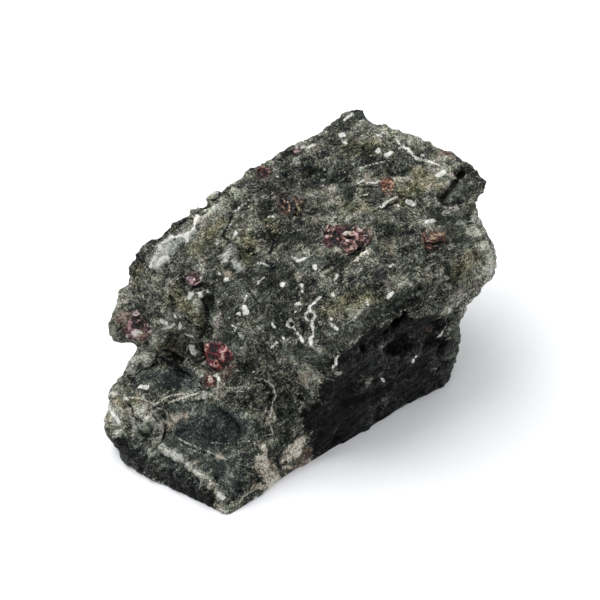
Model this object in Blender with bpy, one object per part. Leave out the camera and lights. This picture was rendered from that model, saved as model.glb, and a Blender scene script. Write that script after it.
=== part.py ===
"""Pyrope garnets in a lump of serpentinised peridotite, about 69 mm long.

The lump is built the way it broke: a few convex blocks bounded by flat breaks are fused into one
stone, clefts are chiselled out of it, and its faces are then roughened and its underside is cut flat.
Each garnet is a group of rhombic dodecahedra grown together, and sits in a socket of its own.

Corners and seats are in millimetres from the front foot of the stone: X along it, Y across it
towards the back wall, Z up from what it stands on. The finished stone is moved at the end, so that
the middle of its footprint is the origin.
"""

import math
import random
from typing import NamedTuple

import bmesh
import bpy
from mathutils import Euler, Matrix, Vector, noise
from mathutils.bvhtree import BVHTree

MM = 0.001

# ---- Driving dimensions of the stone -----------------------------------------------------------

BELOW = -2.5  # the blocks run this far under the table plane before the base is cut flat

BODY = [
    # base
    (17, 0.3, BELOW), (46, -0.9, BELOW), (48, 8, BELOW), (46, 27, BELOW), (18, 30, BELOW), (9, 22, BELOW),
    # front wall, from its low corner up to the overhang
    (18, 0.3, 2), (24, 0, 22.5), (29, 0, 24), (43, 0, 23), (44, -1, 13), (49, 0, 12), (48, -0.3, 3),
    # top break
    (19, 7, 20), (27.5, 7, 26.5), (43, 1, 25.5), (21, 20.5, 26), (13.2, 33.6, 28.1),
    (21, 33, 30.3), (32, 33.3, 31.5), (43, 33.8, 31.5), (54, 32, 29.5), (55, 29, 29),
    # back wall, with its thickest part a third of the way up
    (8, 32, 12), (22, 34.5, 10), (42, 35, 11), (50, 32, 14), (20, 34, 3), (40, 33.5, 1.5),
]
SHOULDER = [
    # the sloping end above the cleft
    (13.2, 33.8, 28.2), (10.2, 34.5, 27.5), (8.7, 34.7, 24.3), (21, 20.5, 26), (19, 7, 20), (15, 8, 14.5),
    (13, 25, 12.5), (8, 33.8, 19.5), (9, 31, 13), (18, 33, 11), (25, 20, 12), (25, 8, 13), (10, 25.5, 19),
]
LIP = [
    # the overhanging tip of the shoulder
    (2, 32.7, 14), (2.6, 32.7, 11), (3.4, 33.8, 17), (6, 34.6, 19.3), (4.5, 30.8, 11), (5.8, 27.3, 12.7),
    (7.5, 26, 16.5), (12, 25, 20), (13, 33.5, 20), (15, 25, 13), (16, 33, 11),
]
FOOT = [
    # the low front block under the cleft
    (0, -0.2, BELOW), (16, 0.2, BELOW), (20, 27, BELOW), (0, 26.5, BELOW), (-5, 18, BELOW), (-2, 9.5, BELOW),
    (0, 0, 1), (-5.5, 17.5, 1.5), (-6, 22.5, 4.5), (-3.5, 26, 9), (5.5, 29, 11), (16, 30, 11.5),
    (2, 17.5, 10), (8, 12.5, 12), (15, 7.5, 14), (18.5, 7, 15), (18, 0.3, 2), (10, 32, 5),
    (9.8, 2.3, 6.6), (13, 4.6, 10.6),
]
KNUCKLE = [
    # the raised pale corner at the back of the foot
    (-0.5, 26.3, 9.5), (1.5, 24.5, 11), (5.5, 24, 12), (8, 27, 13), (7.5, 30, 12.5), (5.4, 29.3, 11.3),
    (0, 26, 5), (8, 25, 5), (7, 30, 5), (4.5, 28.7, 6),
]
GARNET_BED = [
    # the steep facet at the right end of the cleft that holds the front garnet
    (8.9, 17.4, 12.6), (12.6, 13.3, 13.4), (13.9, 15.6, 18.9), (12.9, 18.4, 17.9), (12.3, 19.8, 16.6),
    (11, 19.6, 12.5), (16, 20, 12), (18, 13, 13), (17, 16, 18),
]
TAIL_TOP = [
    # upper lobe of the far end
    (40, 31, 30.5), (55.8, 30.8, 30.2), (58.7, 26.5, 29.2), (60.9, 22.1, 28), (62.5, 19.2, 27),
    (63.7, 14.2, 26.3), (64.1, 11.1, 26.1), (63, 9.2, 25.3), (63, 11.5, 23.6),
    (44, 6, 26), (44, 10, 16), (52, 29, 12), (61, 13, 22), (61, 18, 17),
]
TAIL_SIDE = [
    # lower lobe of the far end, hanging over the front wall
    (44, 0, 24), (50, 1, 25), (56.8, 4, 24), (56.3, 1.2, 23.7), (56, -0.4, 21.5), (54, -0.8, 18),
    (48.8, -0.9, 16), (44, 2, 16), (44, 16, 24), (58.5, 10.5, 23), (57, 12, 15), (48, 14, 11),
    (48.8, 0.3, 12),
]
CREST = [
    # thin horn on the back edge
    (47, 33.6, 30.8), (52.4, 34.4, 30.9), (55.4, 34.4, 31.3), (56.7, 33.6, 31.2), (57, 31.5, 30),
    (55.5, 30.5, 29), (50, 30, 29), (50, 31, 24), (54.5, 31.5, 24), (55.5, 33.6, 27),
]
BACK_SLAB = [
    # a slab that stands proud of the back wall
    (24, 33, 8), (30, 36.3, 12), (44, 36.6, 13), (49, 33, 9), (47, 35.5, 21), (30, 35.5, 24), (23, 33, 19),
    (30, 30, 8), (45, 30, 8), (30, 30, 24), (46, 30, 23),
]
BLOCKS = {
    "body": BODY,
    "shoulder": SHOULDER,
    "lip": LIP,
    "foot": FOOT,
    "knuckle": KNUCKLE,
    "garnet_bed": GARNET_BED,
    "tail_top": TAIL_TOP,
    "tail_side": TAIL_SIDE,
    "crest": CREST,
    "back_slab": BACK_SLAB,
}

CLEFT = [
    # dark cleft between the shoulder and the foot, deepest at its right end
    (-6, 22, 10.5), (-2, 31, 10.2), (3, 19, 13.5), (2, 33, 11.8), (7.5, 22.5, 14),
    (5.5, 20, 11), (14, 17, 14.5), (13, 19, 12), (17, 25, 13.5), (14, 29.5, 12.5), (12, 29, 11.5),
]
NOTCH = [
    # bite out of the far end, between its two lobes
    (66, 7, 24), (66, 15, 23.6), (66, 6, 21), (66, 15, 19.5), (53.5, 12.5, 25), (56, 14.5, 24),
    (57, 10.5, 22.7),
]
UNDERCUT = [
    # the far end hangs clear of the table behind the front wall
    (66, 8, 14), (66, 34, 9), (66, 8, -4), (66, 38, -4), (50, 8, -4), (50.5, 13, 7), (51, 30, 3),
    (50, 38, -4),
]
STEP = [
    # slab lost from the low back corner
    (14, 40, 7), (-2, 40, 9), (-4, 33.5, 8), (8, 31.5, 6.5), (-4, 30, -4), (14, 33, -4), (-4, 40, -4),
    (14, 40, -4),
]
CUTS = {"cleft": CLEFT, "notch": NOTCH, "undercut": UNDERCUT, "step": STEP}

# Dents (negative) and lumps (positive): centre, radius and height.
SWELLINGS = {
    "dark_wall_hollow": ((42, -0.5, 14.5), 3.2, -1.7),
    "dark_wall_scoop": ((36.5, 0, 16.5), 5.5, -1.3),
    "dark_wall_low_scoop": ((25, 0, 10), 4.0, -0.9),
    "dark_wall_brow": ((38, 0, 20.5), 5.0, 0.6),
    "front_facet_swell": ((16.5, 4, 9), 5.0, 0.7),
    "foot_front_dish": ((7, 9, 9), 5.5, -1.0),
    "foot_top_dish": ((4, 20, 10.5), 4.0, -0.6),
    "foot_ridge": ((-0.5, 11, 3.8), 3.2, 0.8),
    "foot_ridge_tip": ((0.2, 4.5, 2), 2.6, 0.7),
    "shoulder_groove": ((13, 24, 17.5), 4.0, -1.0),
    "shoulder_swell": ((17, 15, 21), 5.0, 0.8),
    "shoulder_top_dish": ((15, 30, 26), 4.5, -0.8),
    "top_dish_left": ((26, 22, 27), 7.0, -0.9),
    "top_dish_middle": ((38, 26, 29.5), 5.5, -0.8),
    "top_swell": ((45, 24, 29.5), 6.0, 0.6),
    "slope_dish": ((24, 12, 25), 5.0, -0.8),
    "slope_brow": ((33, 6, 26), 5.0, 0.5),
    "tail_dish": ((52, 9, 25.5), 4.0, -0.8),
    "neck_groove": ((45.5, -0.5, 14), 2.4, -0.8),
    "back_scoop": ((24, 34, 22), 7.0, -1.6),
    "back_lump": ((14, 33, 17), 5.0, 1.0),
    "end_scoop": ((56, 22, 20), 6.0, -1.5),
}

# ---- Driving dimensions of the stone's surface ---------------------------------------------------

VOXEL = 0.95  # size of the grid that the fused blocks are remeshed on
LUMP_SIZE, LUMP_HEIGHT = 8.0, 0.6
KNOB_SIZE, KNOB_HEIGHT = 3.2, 0.34
GRAIN_SIZE, GRAIN_HEIGHT = 1.5, 0.16
LEDGE_SPACING, LEDGE_HEIGHT = 3.6, 0.65
LEDGE_TILT = 0.29  # the stone's layers rise this much for each millimetre of X
LEDGE_WANDER = 0.55  # how far a ledge strays from its layer, in layers
STONE_TRIANGLES = 6600

# ---- Driving dimensions of the garnets -----------------------------------------------------------

GAP = 0.3  # all round a garnet, between it and its socket
SEAT_SEARCH = 12  # how far outside its seat a garnet's place is looked for from

UP = (0, 0, 1)
FORE = (-0.45, -0.54, 0.71)  # up and out over the foot
WALL = (0, -1, 0.1)
BACK = (0, 1, 0.1)
END = (1, 0.2, 0.2)


class Garnet(NamedTuple):
    """A group of crystals. Its seat is a point near the surface, seen against the way it faces."""

    seat: tuple
    faces: tuple
    length: float
    width: float
    turn: float  # of its length from X, in degrees
    crystal: float  # across one crystal
    count: int
    proud: float
    kind: str


GARNETS = {
    "garnet_centre": Garnet((35.6, 13.7, 28), FORE, 8.0, 5.6, -10, 3.9, 6, 0.75, "wine_garnet"),
    "garnet_front": Garnet((11.6, 16.9, 14.6), FORE, 5.6, 5.0, 40, 3.7, 4, 0.8, "red_garnet"),
    "garnet_front_lower": Garnet((8.7, 14.8, 11.8), FORE, 3.6, 2.6, 120, 2.4, 2, 0.7, "red_garnet"),
    "garnet_left_edge": Garnet((5.7, 29.5, 15), FORE, 5.6, 4.6, 100, 3.2, 4, 0.7, "mauve_garnet"),
    "garnet_left_ridge": Garnet((14.8, 26.9, 22), FORE, 3.2, 2.8, 60, 2.4, 2, 0.5, "mauve_garnet"),
    "garnet_back_edge": Garnet((33.1, 31.4, 30), UP, 3.6, 3.0, 20, 2.6, 2, 0.6, "wine_garnet"),
    "garnet_upper": Garnet((33.1, 24.1, 29.5), FORE, 4.8, 4.4, 0, 3.2, 4, 0.6, "rust_garnet"),
    "garnet_right_upper": Garnet((48, 17.9, 28.5), FORE, 3.6, 2.8, 75, 2.6, 2, 0.6, "orange_garnet"),
    "garnet_right": Garnet((47.2, 5.4, 26.5), FORE, 5.0, 3.4, -20, 2.9, 3, 0.7, "orange_garnet"),
    "garnet_crest": Garnet((40.9, 31.8, 31), UP, 2.2, 1.6, 0, 1.7, 1, 0.5, "mauve_garnet"),
    "garnet_dark_wall": Garnet((42.2, 0, 13.7), WALL, 1.8, 1.3, 20, 1.6, 1, 0.45, "red_garnet"),
    "garnet_foot": Garnet((17, 0.7, 2.2), WALL, 2.4, 2.2, 60, 2.2, 1, 0.55, "rust_garnet"),
    "garnet_back_wall": Garnet((33, 36, 16), BACK, 5.0, 4.0, 30, 3.2, 3, 0.7, "wine_garnet"),
    "garnet_far_end": Garnet((60, 17, 19), END, 3.2, 2.6, 50, 2.4, 2, 0.6, "red_garnet"),
}

# ---- Colours, roughness and transmission of the materials -----------------------------------------

MATERIALS = {
    "peridotite": ((0.075, 0.085, 0.078), 0.75, 0.0),
    "wine_garnet": ((0.180, 0.030, 0.060), 0.15, 0.3),
    "red_garnet": ((0.380, 0.035, 0.060), 0.15, 0.3),
    "mauve_garnet": ((0.350, 0.160, 0.200), 0.25, 0.2),
    "rust_garnet": ((0.220, 0.090, 0.045), 0.35, 0.1),
    "orange_garnet": ((0.400, 0.130, 0.080), 0.25, 0.2),
}


def apply(thing, kind, **settings):
    """Puts a modifier on an object and applies it."""
    modifier = thing.modifiers.new(kind.title(), kind)
    for name, value in settings.items():
        setattr(modifier, name, value)
    bpy.context.view_layer.objects.active = thing
    bpy.ops.object.modifier_apply(modifier=modifier.name)


def hull(name, corners):
    """One convex block through the outermost of these corners, given in metres."""
    mesh = bpy.data.meshes.new(name)
    bm = bmesh.new()
    for corner in corners:
        bm.verts.new(corner)
    made = bmesh.ops.convex_hull(bm, input=bm.verts)
    inner = {item for item in made["geom_interior"] if isinstance(item, bmesh.types.BMVert)}
    bmesh.ops.delete(bm, geom=list(inner), context="VERTS")
    bmesh.ops.recalc_face_normals(bm, faces=bm.faces)
    bmesh.ops.dissolve_limit(bm, angle_limit=math.radians(0.5), verts=bm.verts, edges=bm.edges)
    bm.to_mesh(mesh)
    bm.free()
    block = bpy.data.objects.new(name, mesh)
    bpy.context.scene.collection.objects.link(block)
    return block


def block_of(name, corners):
    return hull(name, [Vector(corner) * MM for corner in corners])


def combine(thing, others, operation):
    """Unites the others with a thing, or cuts them out of it, and removes them."""
    for other in others:
        apply(thing, "BOOLEAN", operation=operation, object=other, solver="EXACT")
        bpy.data.objects.remove(other)


def keep_main_body(thing):
    """Deletes crumbs that cutting has parted from a thing."""
    bm = bmesh.new()
    bm.from_mesh(thing.data)
    unseen = set(bm.verts)
    bodies = []
    while unseen:
        body, edge = set(), [unseen.pop()]
        while edge:
            vert = edge.pop()
            body.add(vert)
            near = {link.other_vert(vert) for link in vert.link_edges} & unseen
            unseen -= near
            edge.extend(near)
        bodies.append(body)
    bodies.sort(key=len)
    crumbs = [vert for body in bodies[:-1] for vert in body]
    bmesh.ops.delete(bm, geom=crumbs, context="VERTS")
    bm.to_mesh(thing.data)
    bm.free()


def ledge(place):
    """Height of the broken layer edges at a place in millimetres, from -0.5 to 0.5."""
    layer = (place.z - LEDGE_TILT * place.x) / LEDGE_SPACING
    layer += LEDGE_WANDER * noise.noise(place / (2.5 * LEDGE_SPACING))
    across = layer - math.floor(layer)
    return (across if across < 0.8 else 4 * (1 - across)) - 0.5


def swelling(place):
    """Sum of the dents and lumps at a place in millimetres."""
    total = 0.0
    for centre, radius, height in SWELLINGS.values():
        near = 1 - (place - Vector(centre)).length_squared / radius**2
        if near > 0:
            total += height * near * near
    return total


def roughness(place):
    """How far the broken surface stands from the flat breaks at a place in millimetres."""
    patch = min(max(0.65 + 1.2 * noise.noise(place / 15), 0.3), 1.0)
    return (
        swelling(place)
        + LUMP_HEIGHT * noise.noise(place / LUMP_SIZE)
        + KNOB_HEIGHT * noise.noise(place / KNOB_SIZE + Vector((7, 3, 1)))
        + GRAIN_HEIGHT * noise.noise(place / GRAIN_SIZE + Vector((2, 9, 5)))
        + LEDGE_HEIGHT * patch * ledge(place)
    )


def roughen(stone):
    apply(stone, "REMESH", mode="VOXEL", voxel_size=VOXEL * MM)
    verts = stone.data.vertices
    moves = [vert.normal * roughness(vert.co / MM) * MM for vert in verts]
    for vert, move in zip(verts, moves):
        vert.co += move
    triangles = 2 * len(stone.data.polygons)
    apply(stone, "DECIMATE", ratio=STONE_TRIANGLES / triangles, use_collapse_triangulate=True)


def cut_base(stone):
    """Cuts the stone off flat at the height of what it rests on."""
    wide = 100
    corners = [(x, y, z) for x in (-wide, wide) for y in (-wide, wide) for z in (-wide, 0)]
    combine(stone, [block_of("below_table", corners)], "DIFFERENCE")


def build_stone():
    first, *others = [block_of(name, corners) for name, corners in BLOCKS.items()]
    combine(first, others, "UNION")
    combine(first, [block_of(name, corners) for name, corners in CUTS.items()], "DIFFERENCE")
    roughen(first)
    cut_base(first)
    keep_main_body(first)
    first.name = first.data.name = "matrix"
    return first


def dodecahedron(inradius):
    """Corners of a rhombic dodecahedron, garnet's usual crystal, with this distance to its faces."""
    half = inradius / math.sqrt(2)
    corners = [Vector((x, y, z)) * half for x in (-1, 1) for y in (-1, 1) for z in (-1, 1)]
    for axis in range(3):
        for side in (-2, 2):
            corner = Vector((0, 0, 0))
            corner[axis] = side * half
            corners.append(corner)
    return corners


def crystals_of(name, garnet):
    """Place, turn and inradius of each crystal of a group, with Z out of the stone and 0 at its surface."""
    chance = random.Random(name)
    found = []
    for index in range(garnet.count):
        inradius = garnet.crystal / 2 * chance.uniform(0.82, 1.0)
        angle = 2 * math.pi * index / max(garnet.count - 1, 1) + chance.uniform(-0.3, 0.3)
        reach = 0.0 if index == 0 and garnet.count != 2 else 1.0
        along = reach * math.cos(angle) * max(garnet.length / 2 - inradius, 0.15 * garnet.length)
        across = reach * math.sin(angle) * max(garnet.width / 2 - inradius, 0.15 * garnet.width)
        place = Matrix.Rotation(math.radians(garnet.turn), 3, "Z") @ Vector((along, across, 0))
        place.z = garnet.proud * chance.uniform(0.6, 1.1) - inradius
        spin = Euler([chance.uniform(0, math.pi) for _ in range(3)]).to_matrix()
        found.append((place, spin, inradius))
    return found


def crystal_group(name, crystals, seat, upright, grow=0.0):
    """One solid of a group's crystals, each face moved out by a distance in millimetres."""
    blocks = []
    for index, (place, spin, inradius) in enumerate(crystals):
        corners = [
            (seat / MM + upright @ (place + spin @ corner)) * MM
            for corner in dodecahedron(inradius + grow)
        ]
        blocks.append(hull(f"{name}_{index}", corners))
    group = blocks[0]
    combine(group, blocks[1:], "UNION")
    return group


def seat_on(tree, garnet):
    """The garnet's place on the surface, and the turn that points its Z out of the stone there."""
    faces = Vector(garnet.faces).normalized()
    start = (Vector(garnet.seat) + faces * SEAT_SEARCH) * MM
    place, normal, _, _ = tree.ray_cast(start, -faces)
    return place, (3 * normal + faces).normalized().to_track_quat("Z", "Y").to_matrix()


def set_garnets(stone):
    """Makes each garnet and its socket in the stone. Returns the garnets."""
    surface = bmesh.new()
    surface.from_mesh(stone.data)
    tree = BVHTree.FromBMesh(surface)
    surface.free()
    groups, sockets = [], []
    for name, garnet in GARNETS.items():
        place, upright = seat_on(tree, garnet)
        crystals = crystals_of(name, garnet)
        group = crystal_group(name, crystals, place, upright)
        group.name = group.data.name = name
        paint(group, garnet.kind)
        groups.append(group)
        sockets.append(crystal_group(f"{name}_socket", crystals, place, upright, GAP))
    combine(stone, sockets, "DIFFERENCE")
    keep_main_body(stone)
    return groups


def paint(thing, kind):
    """Gives a thing its material, which is made when it is first used."""
    material = bpy.data.materials.get(kind) or bpy.data.materials.new(kind)
    material.use_nodes = True
    shader = material.node_tree.nodes["Principled BSDF"]
    colour, roughness, transmission = MATERIALS[kind]
    shader.inputs["Base Color"].default_value = (*colour, 1)
    shader.inputs["Roughness"].default_value = roughness
    shader.inputs["Transmission Weight"].default_value = transmission
    thing.data.materials.clear()
    thing.data.materials.append(material)


def stand_on_origin(things):
    """Moves the meshes so that the middle of their footprint is the origin. Returns the move."""
    corners = [vert.co for thing in things for vert in thing.data.vertices]
    low = Vector([min(corner[axis] for corner in corners) for axis in range(3)])
    high = Vector([max(corner[axis] for corner in corners) for axis in range(3)])
    middle = (low + high) / 2
    move = Vector((-middle.x, -middle.y, -low.z))
    for thing in things:
        thing.data.transform(Matrix.Translation(move))
    return move


def main():
    for leftover in list(bpy.data.objects):
        bpy.data.objects.remove(leftover)
    stone = build_stone()
    garnets = set_garnets(stone)
    paint(stone, "peridotite")
    return stand_on_origin([stone, *garnets])


if __name__ == "__main__":
    main()
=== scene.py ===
# %% [markdown]
# # Pyrope garnets in peridotite
#
# A hand specimen from the mantle: a dark, greenish lump of peridotite that has largely turned to
# serpentine, with groups of red pyrope garnet broken open on its faces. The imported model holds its
# true size and form. Here the stone gets its hackly broken surface, its felt of pale serpentine
# fibres and its calcite veins, and each garnet gets its fractures and its depth of colour.

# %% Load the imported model
import math
import random

import bmesh
import bpy
import numpy as np
from mathutils import Euler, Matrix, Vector, noise
from mathutils.bvhtree import BVHTree
from mathutils.kdtree import KDTree


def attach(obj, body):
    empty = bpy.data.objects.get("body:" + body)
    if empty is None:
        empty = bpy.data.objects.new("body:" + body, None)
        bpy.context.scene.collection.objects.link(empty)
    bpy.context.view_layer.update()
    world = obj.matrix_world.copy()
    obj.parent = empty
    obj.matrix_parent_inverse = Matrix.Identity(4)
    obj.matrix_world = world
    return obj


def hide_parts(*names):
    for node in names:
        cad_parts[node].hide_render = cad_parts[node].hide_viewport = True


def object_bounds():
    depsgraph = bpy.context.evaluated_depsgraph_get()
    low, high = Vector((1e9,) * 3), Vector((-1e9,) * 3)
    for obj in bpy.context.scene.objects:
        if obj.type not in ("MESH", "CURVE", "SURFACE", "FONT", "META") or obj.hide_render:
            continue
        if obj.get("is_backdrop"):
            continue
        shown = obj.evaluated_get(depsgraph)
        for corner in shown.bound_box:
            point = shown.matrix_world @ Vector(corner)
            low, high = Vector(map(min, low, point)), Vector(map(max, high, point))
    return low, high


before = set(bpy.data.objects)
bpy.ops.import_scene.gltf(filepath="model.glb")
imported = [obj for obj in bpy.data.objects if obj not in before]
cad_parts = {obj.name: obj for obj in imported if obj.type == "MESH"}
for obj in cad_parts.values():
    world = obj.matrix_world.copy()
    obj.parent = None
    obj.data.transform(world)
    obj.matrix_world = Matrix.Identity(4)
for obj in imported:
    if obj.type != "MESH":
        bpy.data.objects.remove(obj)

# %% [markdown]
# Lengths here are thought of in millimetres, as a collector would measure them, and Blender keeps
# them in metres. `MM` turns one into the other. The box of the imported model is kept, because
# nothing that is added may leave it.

MM = 0.001
CAD_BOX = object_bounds()
print("packed model, mm:", [round(side / MM, 1) for side in CAD_BOX[1] - CAD_BOX[0]])

# %% [markdown]
# ## The camera
#
# The specimen is seen from in front of its left end and from 45 degrees above, with a long lens
# from half a metre away, as a product is photographed. A long lens keeps near and far ends at
# nearly the same scale, so the lump doesn't look bigger than it is.

# %% Camera
IMAGE_SIZE = 600  # pixels across the square picture
LENS, SENSOR = 189.0, 36.0
CAMERA_AZIMUTH, CAMERA_ELEVATION = math.radians(-40), math.radians(45)
CAMERA_DISTANCE = 500 * MM
AIM = Vector((-0.4, -1.9, 17.0)) * MM
TOWARDS_CAMERA = Vector((
    math.sin(CAMERA_AZIMUTH) * math.cos(CAMERA_ELEVATION),
    -math.cos(CAMERA_AZIMUTH) * math.cos(CAMERA_ELEVATION),
    math.sin(CAMERA_ELEVATION),
))

bpy.ops.object.select_all(action="DESELECT")
eye = AIM + TOWARDS_CAMERA * CAMERA_DISTANCE
bpy.ops.object.camera_add(location=eye, rotation=TOWARDS_CAMERA.to_track_quat("Z", "Y").to_euler())
camera = bpy.context.object
camera.data.lens = LENS
camera.data.sensor_width = SENSOR
bpy.context.scene.camera = camera
print("one millimetre is", round(LENS / SENSOR * IMAGE_SIZE * MM / CAMERA_DISTANCE, 2), "pixels")

# %% [markdown]
# ## Table and light
#
# White paper under one big soft light. The light stands high on the left and a little behind, so
# the top breaks are bright, the wall on the right is in shade, and the only shadow is a soft one on
# the right. The white surroundings fill the shade. The Standard view transform keeps the paper
# white, where Blender's own choice, AgX, would turn it grey.

# %% Helpers for nodes and colours


def linear(hex_colour, alpha=1.0):
    """Blender's linear colour for an sRGB hex value."""
    channels = [int(hex_colour[place : place + 2], 16) / 255 for place in (1, 3, 5)]
    return (*[c / 12.92 if c <= 0.04045 else ((c + 0.055) / 1.055) ** 2.4 for c in channels], alpha)


def add(tree, kind, settings=(), **sockets):
    """Adds a shader node. A socket is named in lower case, or in0, in1 and on by its number; it takes
    a value or an output to link."""
    node = tree.nodes.new("ShaderNode" + kind)
    for name, value in dict(settings).items():
        setattr(node, name, value)
    by_name = {socket.name.lower().replace(" ", "_"): socket for socket in reversed(list(node.inputs))}
    for name, value in sockets.items():
        socket = node.inputs[int(name[2:])] if name[2:].isdigit() else by_name[name]
        if isinstance(value, bpy.types.NodeSocket):
            tree.links.new(value, socket)
        else:
            socket.default_value = value
    return node


def new_material(name):
    """An empty material, its tree and its output node."""
    material = bpy.data.materials.new(name)
    material.use_nodes = True
    material.node_tree.nodes.clear()
    return material, material.node_tree, add(material.node_tree, "OutputMaterial")


# %% Paper, light and surroundings
PAPER_SIZE = 3000 * MM
LIGHT_FROM = Vector((-0.12, 0.58, 0.80))
LIGHT_DISTANCE = 700 * MM
LIGHT_SIZE = 700 * MM
LIGHT_POWER = 5.3
SURROUNDINGS = 0.84

bpy.ops.mesh.primitive_plane_add(size=PAPER_SIZE)
paper = bpy.context.object
paper.name = "paper"
material, tree, output = new_material("white_paper")
fibre = add(tree, "TexNoise", vector=add(tree, "TexCoord").outputs["Object"], scale=900.0)
tone = add(tree, "ValToRGB", fac=fibre.outputs["Fac"])
tone.color_ramp.elements[0].color = linear("#f3f4f5")
tone.color_ramp.elements[1].color = linear("#f7f8f9")
shader = add(tree, "BsdfPrincipled", base_color=tone.outputs["Color"], roughness=0.9)
tree.links.new(shader.outputs["BSDF"], output.inputs["Surface"])
paper.data.materials.append(material)
paper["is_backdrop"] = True

aim_light = LIGHT_FROM.to_track_quat("Z", "Y").to_euler()
bpy.ops.object.light_add(
    type="AREA", location=LIGHT_FROM.normalized() * LIGHT_DISTANCE, rotation=aim_light
)
light = bpy.context.object.data
light.size = LIGHT_SIZE
light.energy = LIGHT_POWER

world = bpy.data.worlds.new("white_surroundings")
world.use_nodes = True
world.node_tree.nodes["Background"].inputs["Color"].default_value = linear("#fbfcff")
world.node_tree.nodes["Background"].inputs["Strength"].default_value = SURROUNDINGS
bpy.context.scene.world = world
bpy.context.scene.view_settings.view_transform = "Standard"
print("paper", PAPER_SIZE / MM, "mm, light", LIGHT_SIZE / MM, "mm across")

# %% [markdown]
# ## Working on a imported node
#
# Every piece starts as a copy of the node it stands for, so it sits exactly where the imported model
# says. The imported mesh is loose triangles, so the copy is first merged into one skin in edit mode.
# Modifiers are added and applied by one small helper, and two more read and write a mesh's points
# as one numpy table in millimetres.

# %% Helpers for meshes
MERGE = 0.01  # mm, points closer than this are one


def only(piece):
    """Selects this object alone and makes it active."""
    bpy.ops.object.select_all(action="DESELECT")
    piece.select_set(True)
    bpy.context.view_layer.objects.active = piece


def start_from(node_name, piece_name):
    """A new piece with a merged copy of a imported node's mesh."""
    piece = bpy.data.objects.new(piece_name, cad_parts[node_name].data.copy())
    piece.data.name = piece_name
    piece.data.materials.clear()
    bpy.context.scene.collection.objects.link(piece)
    only(piece)
    bpy.ops.object.mode_set(mode="EDIT")
    bpy.ops.mesh.select_all(action="SELECT")
    bpy.ops.mesh.remove_doubles(threshold=MERGE * MM)
    bpy.ops.object.mode_set(mode="OBJECT")
    return piece


def apply(piece, kind, **settings):
    """Adds a modifier and applies it."""
    modifier = piece.modifiers.new(kind.title(), kind)
    for name, value in settings.items():
        setattr(modifier, name, value)
    only(piece)
    bpy.ops.object.modifier_apply(modifier=modifier.name)


def read(piece, what="co"):
    """The places or the normals of a mesh's points, one row each. Places are in millimetres."""
    table = np.empty(3 * len(piece.data.vertices), np.float32)
    source = piece.data.vertices if what == "co" else piece.data.vertex_normals
    source.foreach_get(what if what == "co" else "vector", table)
    return table.reshape(-1, 3).astype(float) / (MM if what == "co" else 1)


def write(piece, places):
    piece.data.vertices.foreach_set("co", (places * MM).astype(np.float32).ravel())
    piece.data.update()


def store(piece, name, values):
    """Keeps one number per point with the mesh, for a material to read."""
    attribute = piece.data.attributes.new(name, "FLOAT", "POINT")
    attribute.data.foreach_set("value", np.asarray(values, np.float32))


def tree_of(*pieces):
    """A search tree of the pieces' faces, in millimetres."""
    corners, faces = [], []
    for piece in pieces:
        faces += [[len(corners) + index for index in face.vertices] for face in piece.data.polygons]
        corners += [vert.co / MM for vert in piece.data.vertices]
    return BVHTree.FromPolygons(corners, faces)


def finder(places):
    """A search tree of places, for the ones within a distance."""
    tree = KDTree(len(places))
    for row, place in enumerate(places):
        tree.insert(place, row)
    tree.balance()
    return tree


# %% [markdown]
# ## Chips
#
# Rock and garnet both break into small flat chips that lean this way and that. A chip pattern is
# made from scattered centres: each place belongs to the centre nearest to it and gets the height of
# that centre's own tilted plane. Where two planes meet there is a crisp edge or a small step,
# which soft noise can't give. The same function at several sizes gives the large and small chips.

# %% Helper for chips


CREASE = 0.22  # share of a chip's size over which one plane turns into the next


def chips(place, size, lean):
    """Height at a place on chips of one size, and the number from 0 to 1 of its chip."""
    distances, centres = noise.voronoi(place / size)
    height = total = 0.0
    for distance, centre in zip(distances, centres):
        weight = max(1 - (distance - distances[0]) / CREASE, 0) ** 2
        tilt = noise.cell_vector(centre) - Vector((0.5, 0.5, 0.5))
        height += weight * tilt.dot(place / size - centre)
        total += weight
    return 2 * lean * size * height / total, noise.cell_vector(centres[0] + Vector((31, 17, 5))).x


# %% [markdown]
# ## The garnets
#
# On the real piece each garnet is a few rounded crystals grown together and then broken across, so
# it shows glassy chips about a millimetre wide, some deep wine red, some frosted pink. A copy of the
# packed crystal group is remeshed finely enough to hold those chips, and they are pressed into it.
# Flat shading would also give facets, but only the ones of the mesh; here each chip is a real plane.

# %% Garnet pieces
GARNET_GRID = 0.13
CHIP, CHIP_LEAN = 1.3, 0.26
SPLINTER, SPLINTER_LEAN = 0.6, 0.14
GARNET_EDGE = math.radians(24)
CAP = 0.5  # mm: a garnet's points further from the rock than this are on its open side
RIM, RIM_LEVEL = 0.6, 60  # mm round a garnet, and the percentile of the rock's heights there
SUNKEN = {"pyrope_left_ridge": 30}  # a lower percentile for a garnet that lies in a dip
PROUD_SHARE = 0.15  # how much is left of what stood above that level

GARNETS = {
    "garnet_centre": "wine_garnet",
    "garnet_front": "red_garnet",
    "garnet_front_lower": "red_garnet",
    "garnet_left_edge": "mauve_garnet",
    "garnet_left_ridge": "mauve_garnet",
    "garnet_back_edge": "wine_garnet",
    "garnet_upper": "rust_garnet",
    "garnet_right_upper": "orange_garnet",
    "garnet_right": "orange_garnet",
    "garnet_crest": "mauve_garnet",
    "garnet_dark_wall": "red_garnet",
    "garnet_foot": "rust_garnet",
    "garnet_back_wall": "wine_garnet",
    "garnet_far_end": "red_garnet",
}


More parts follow.
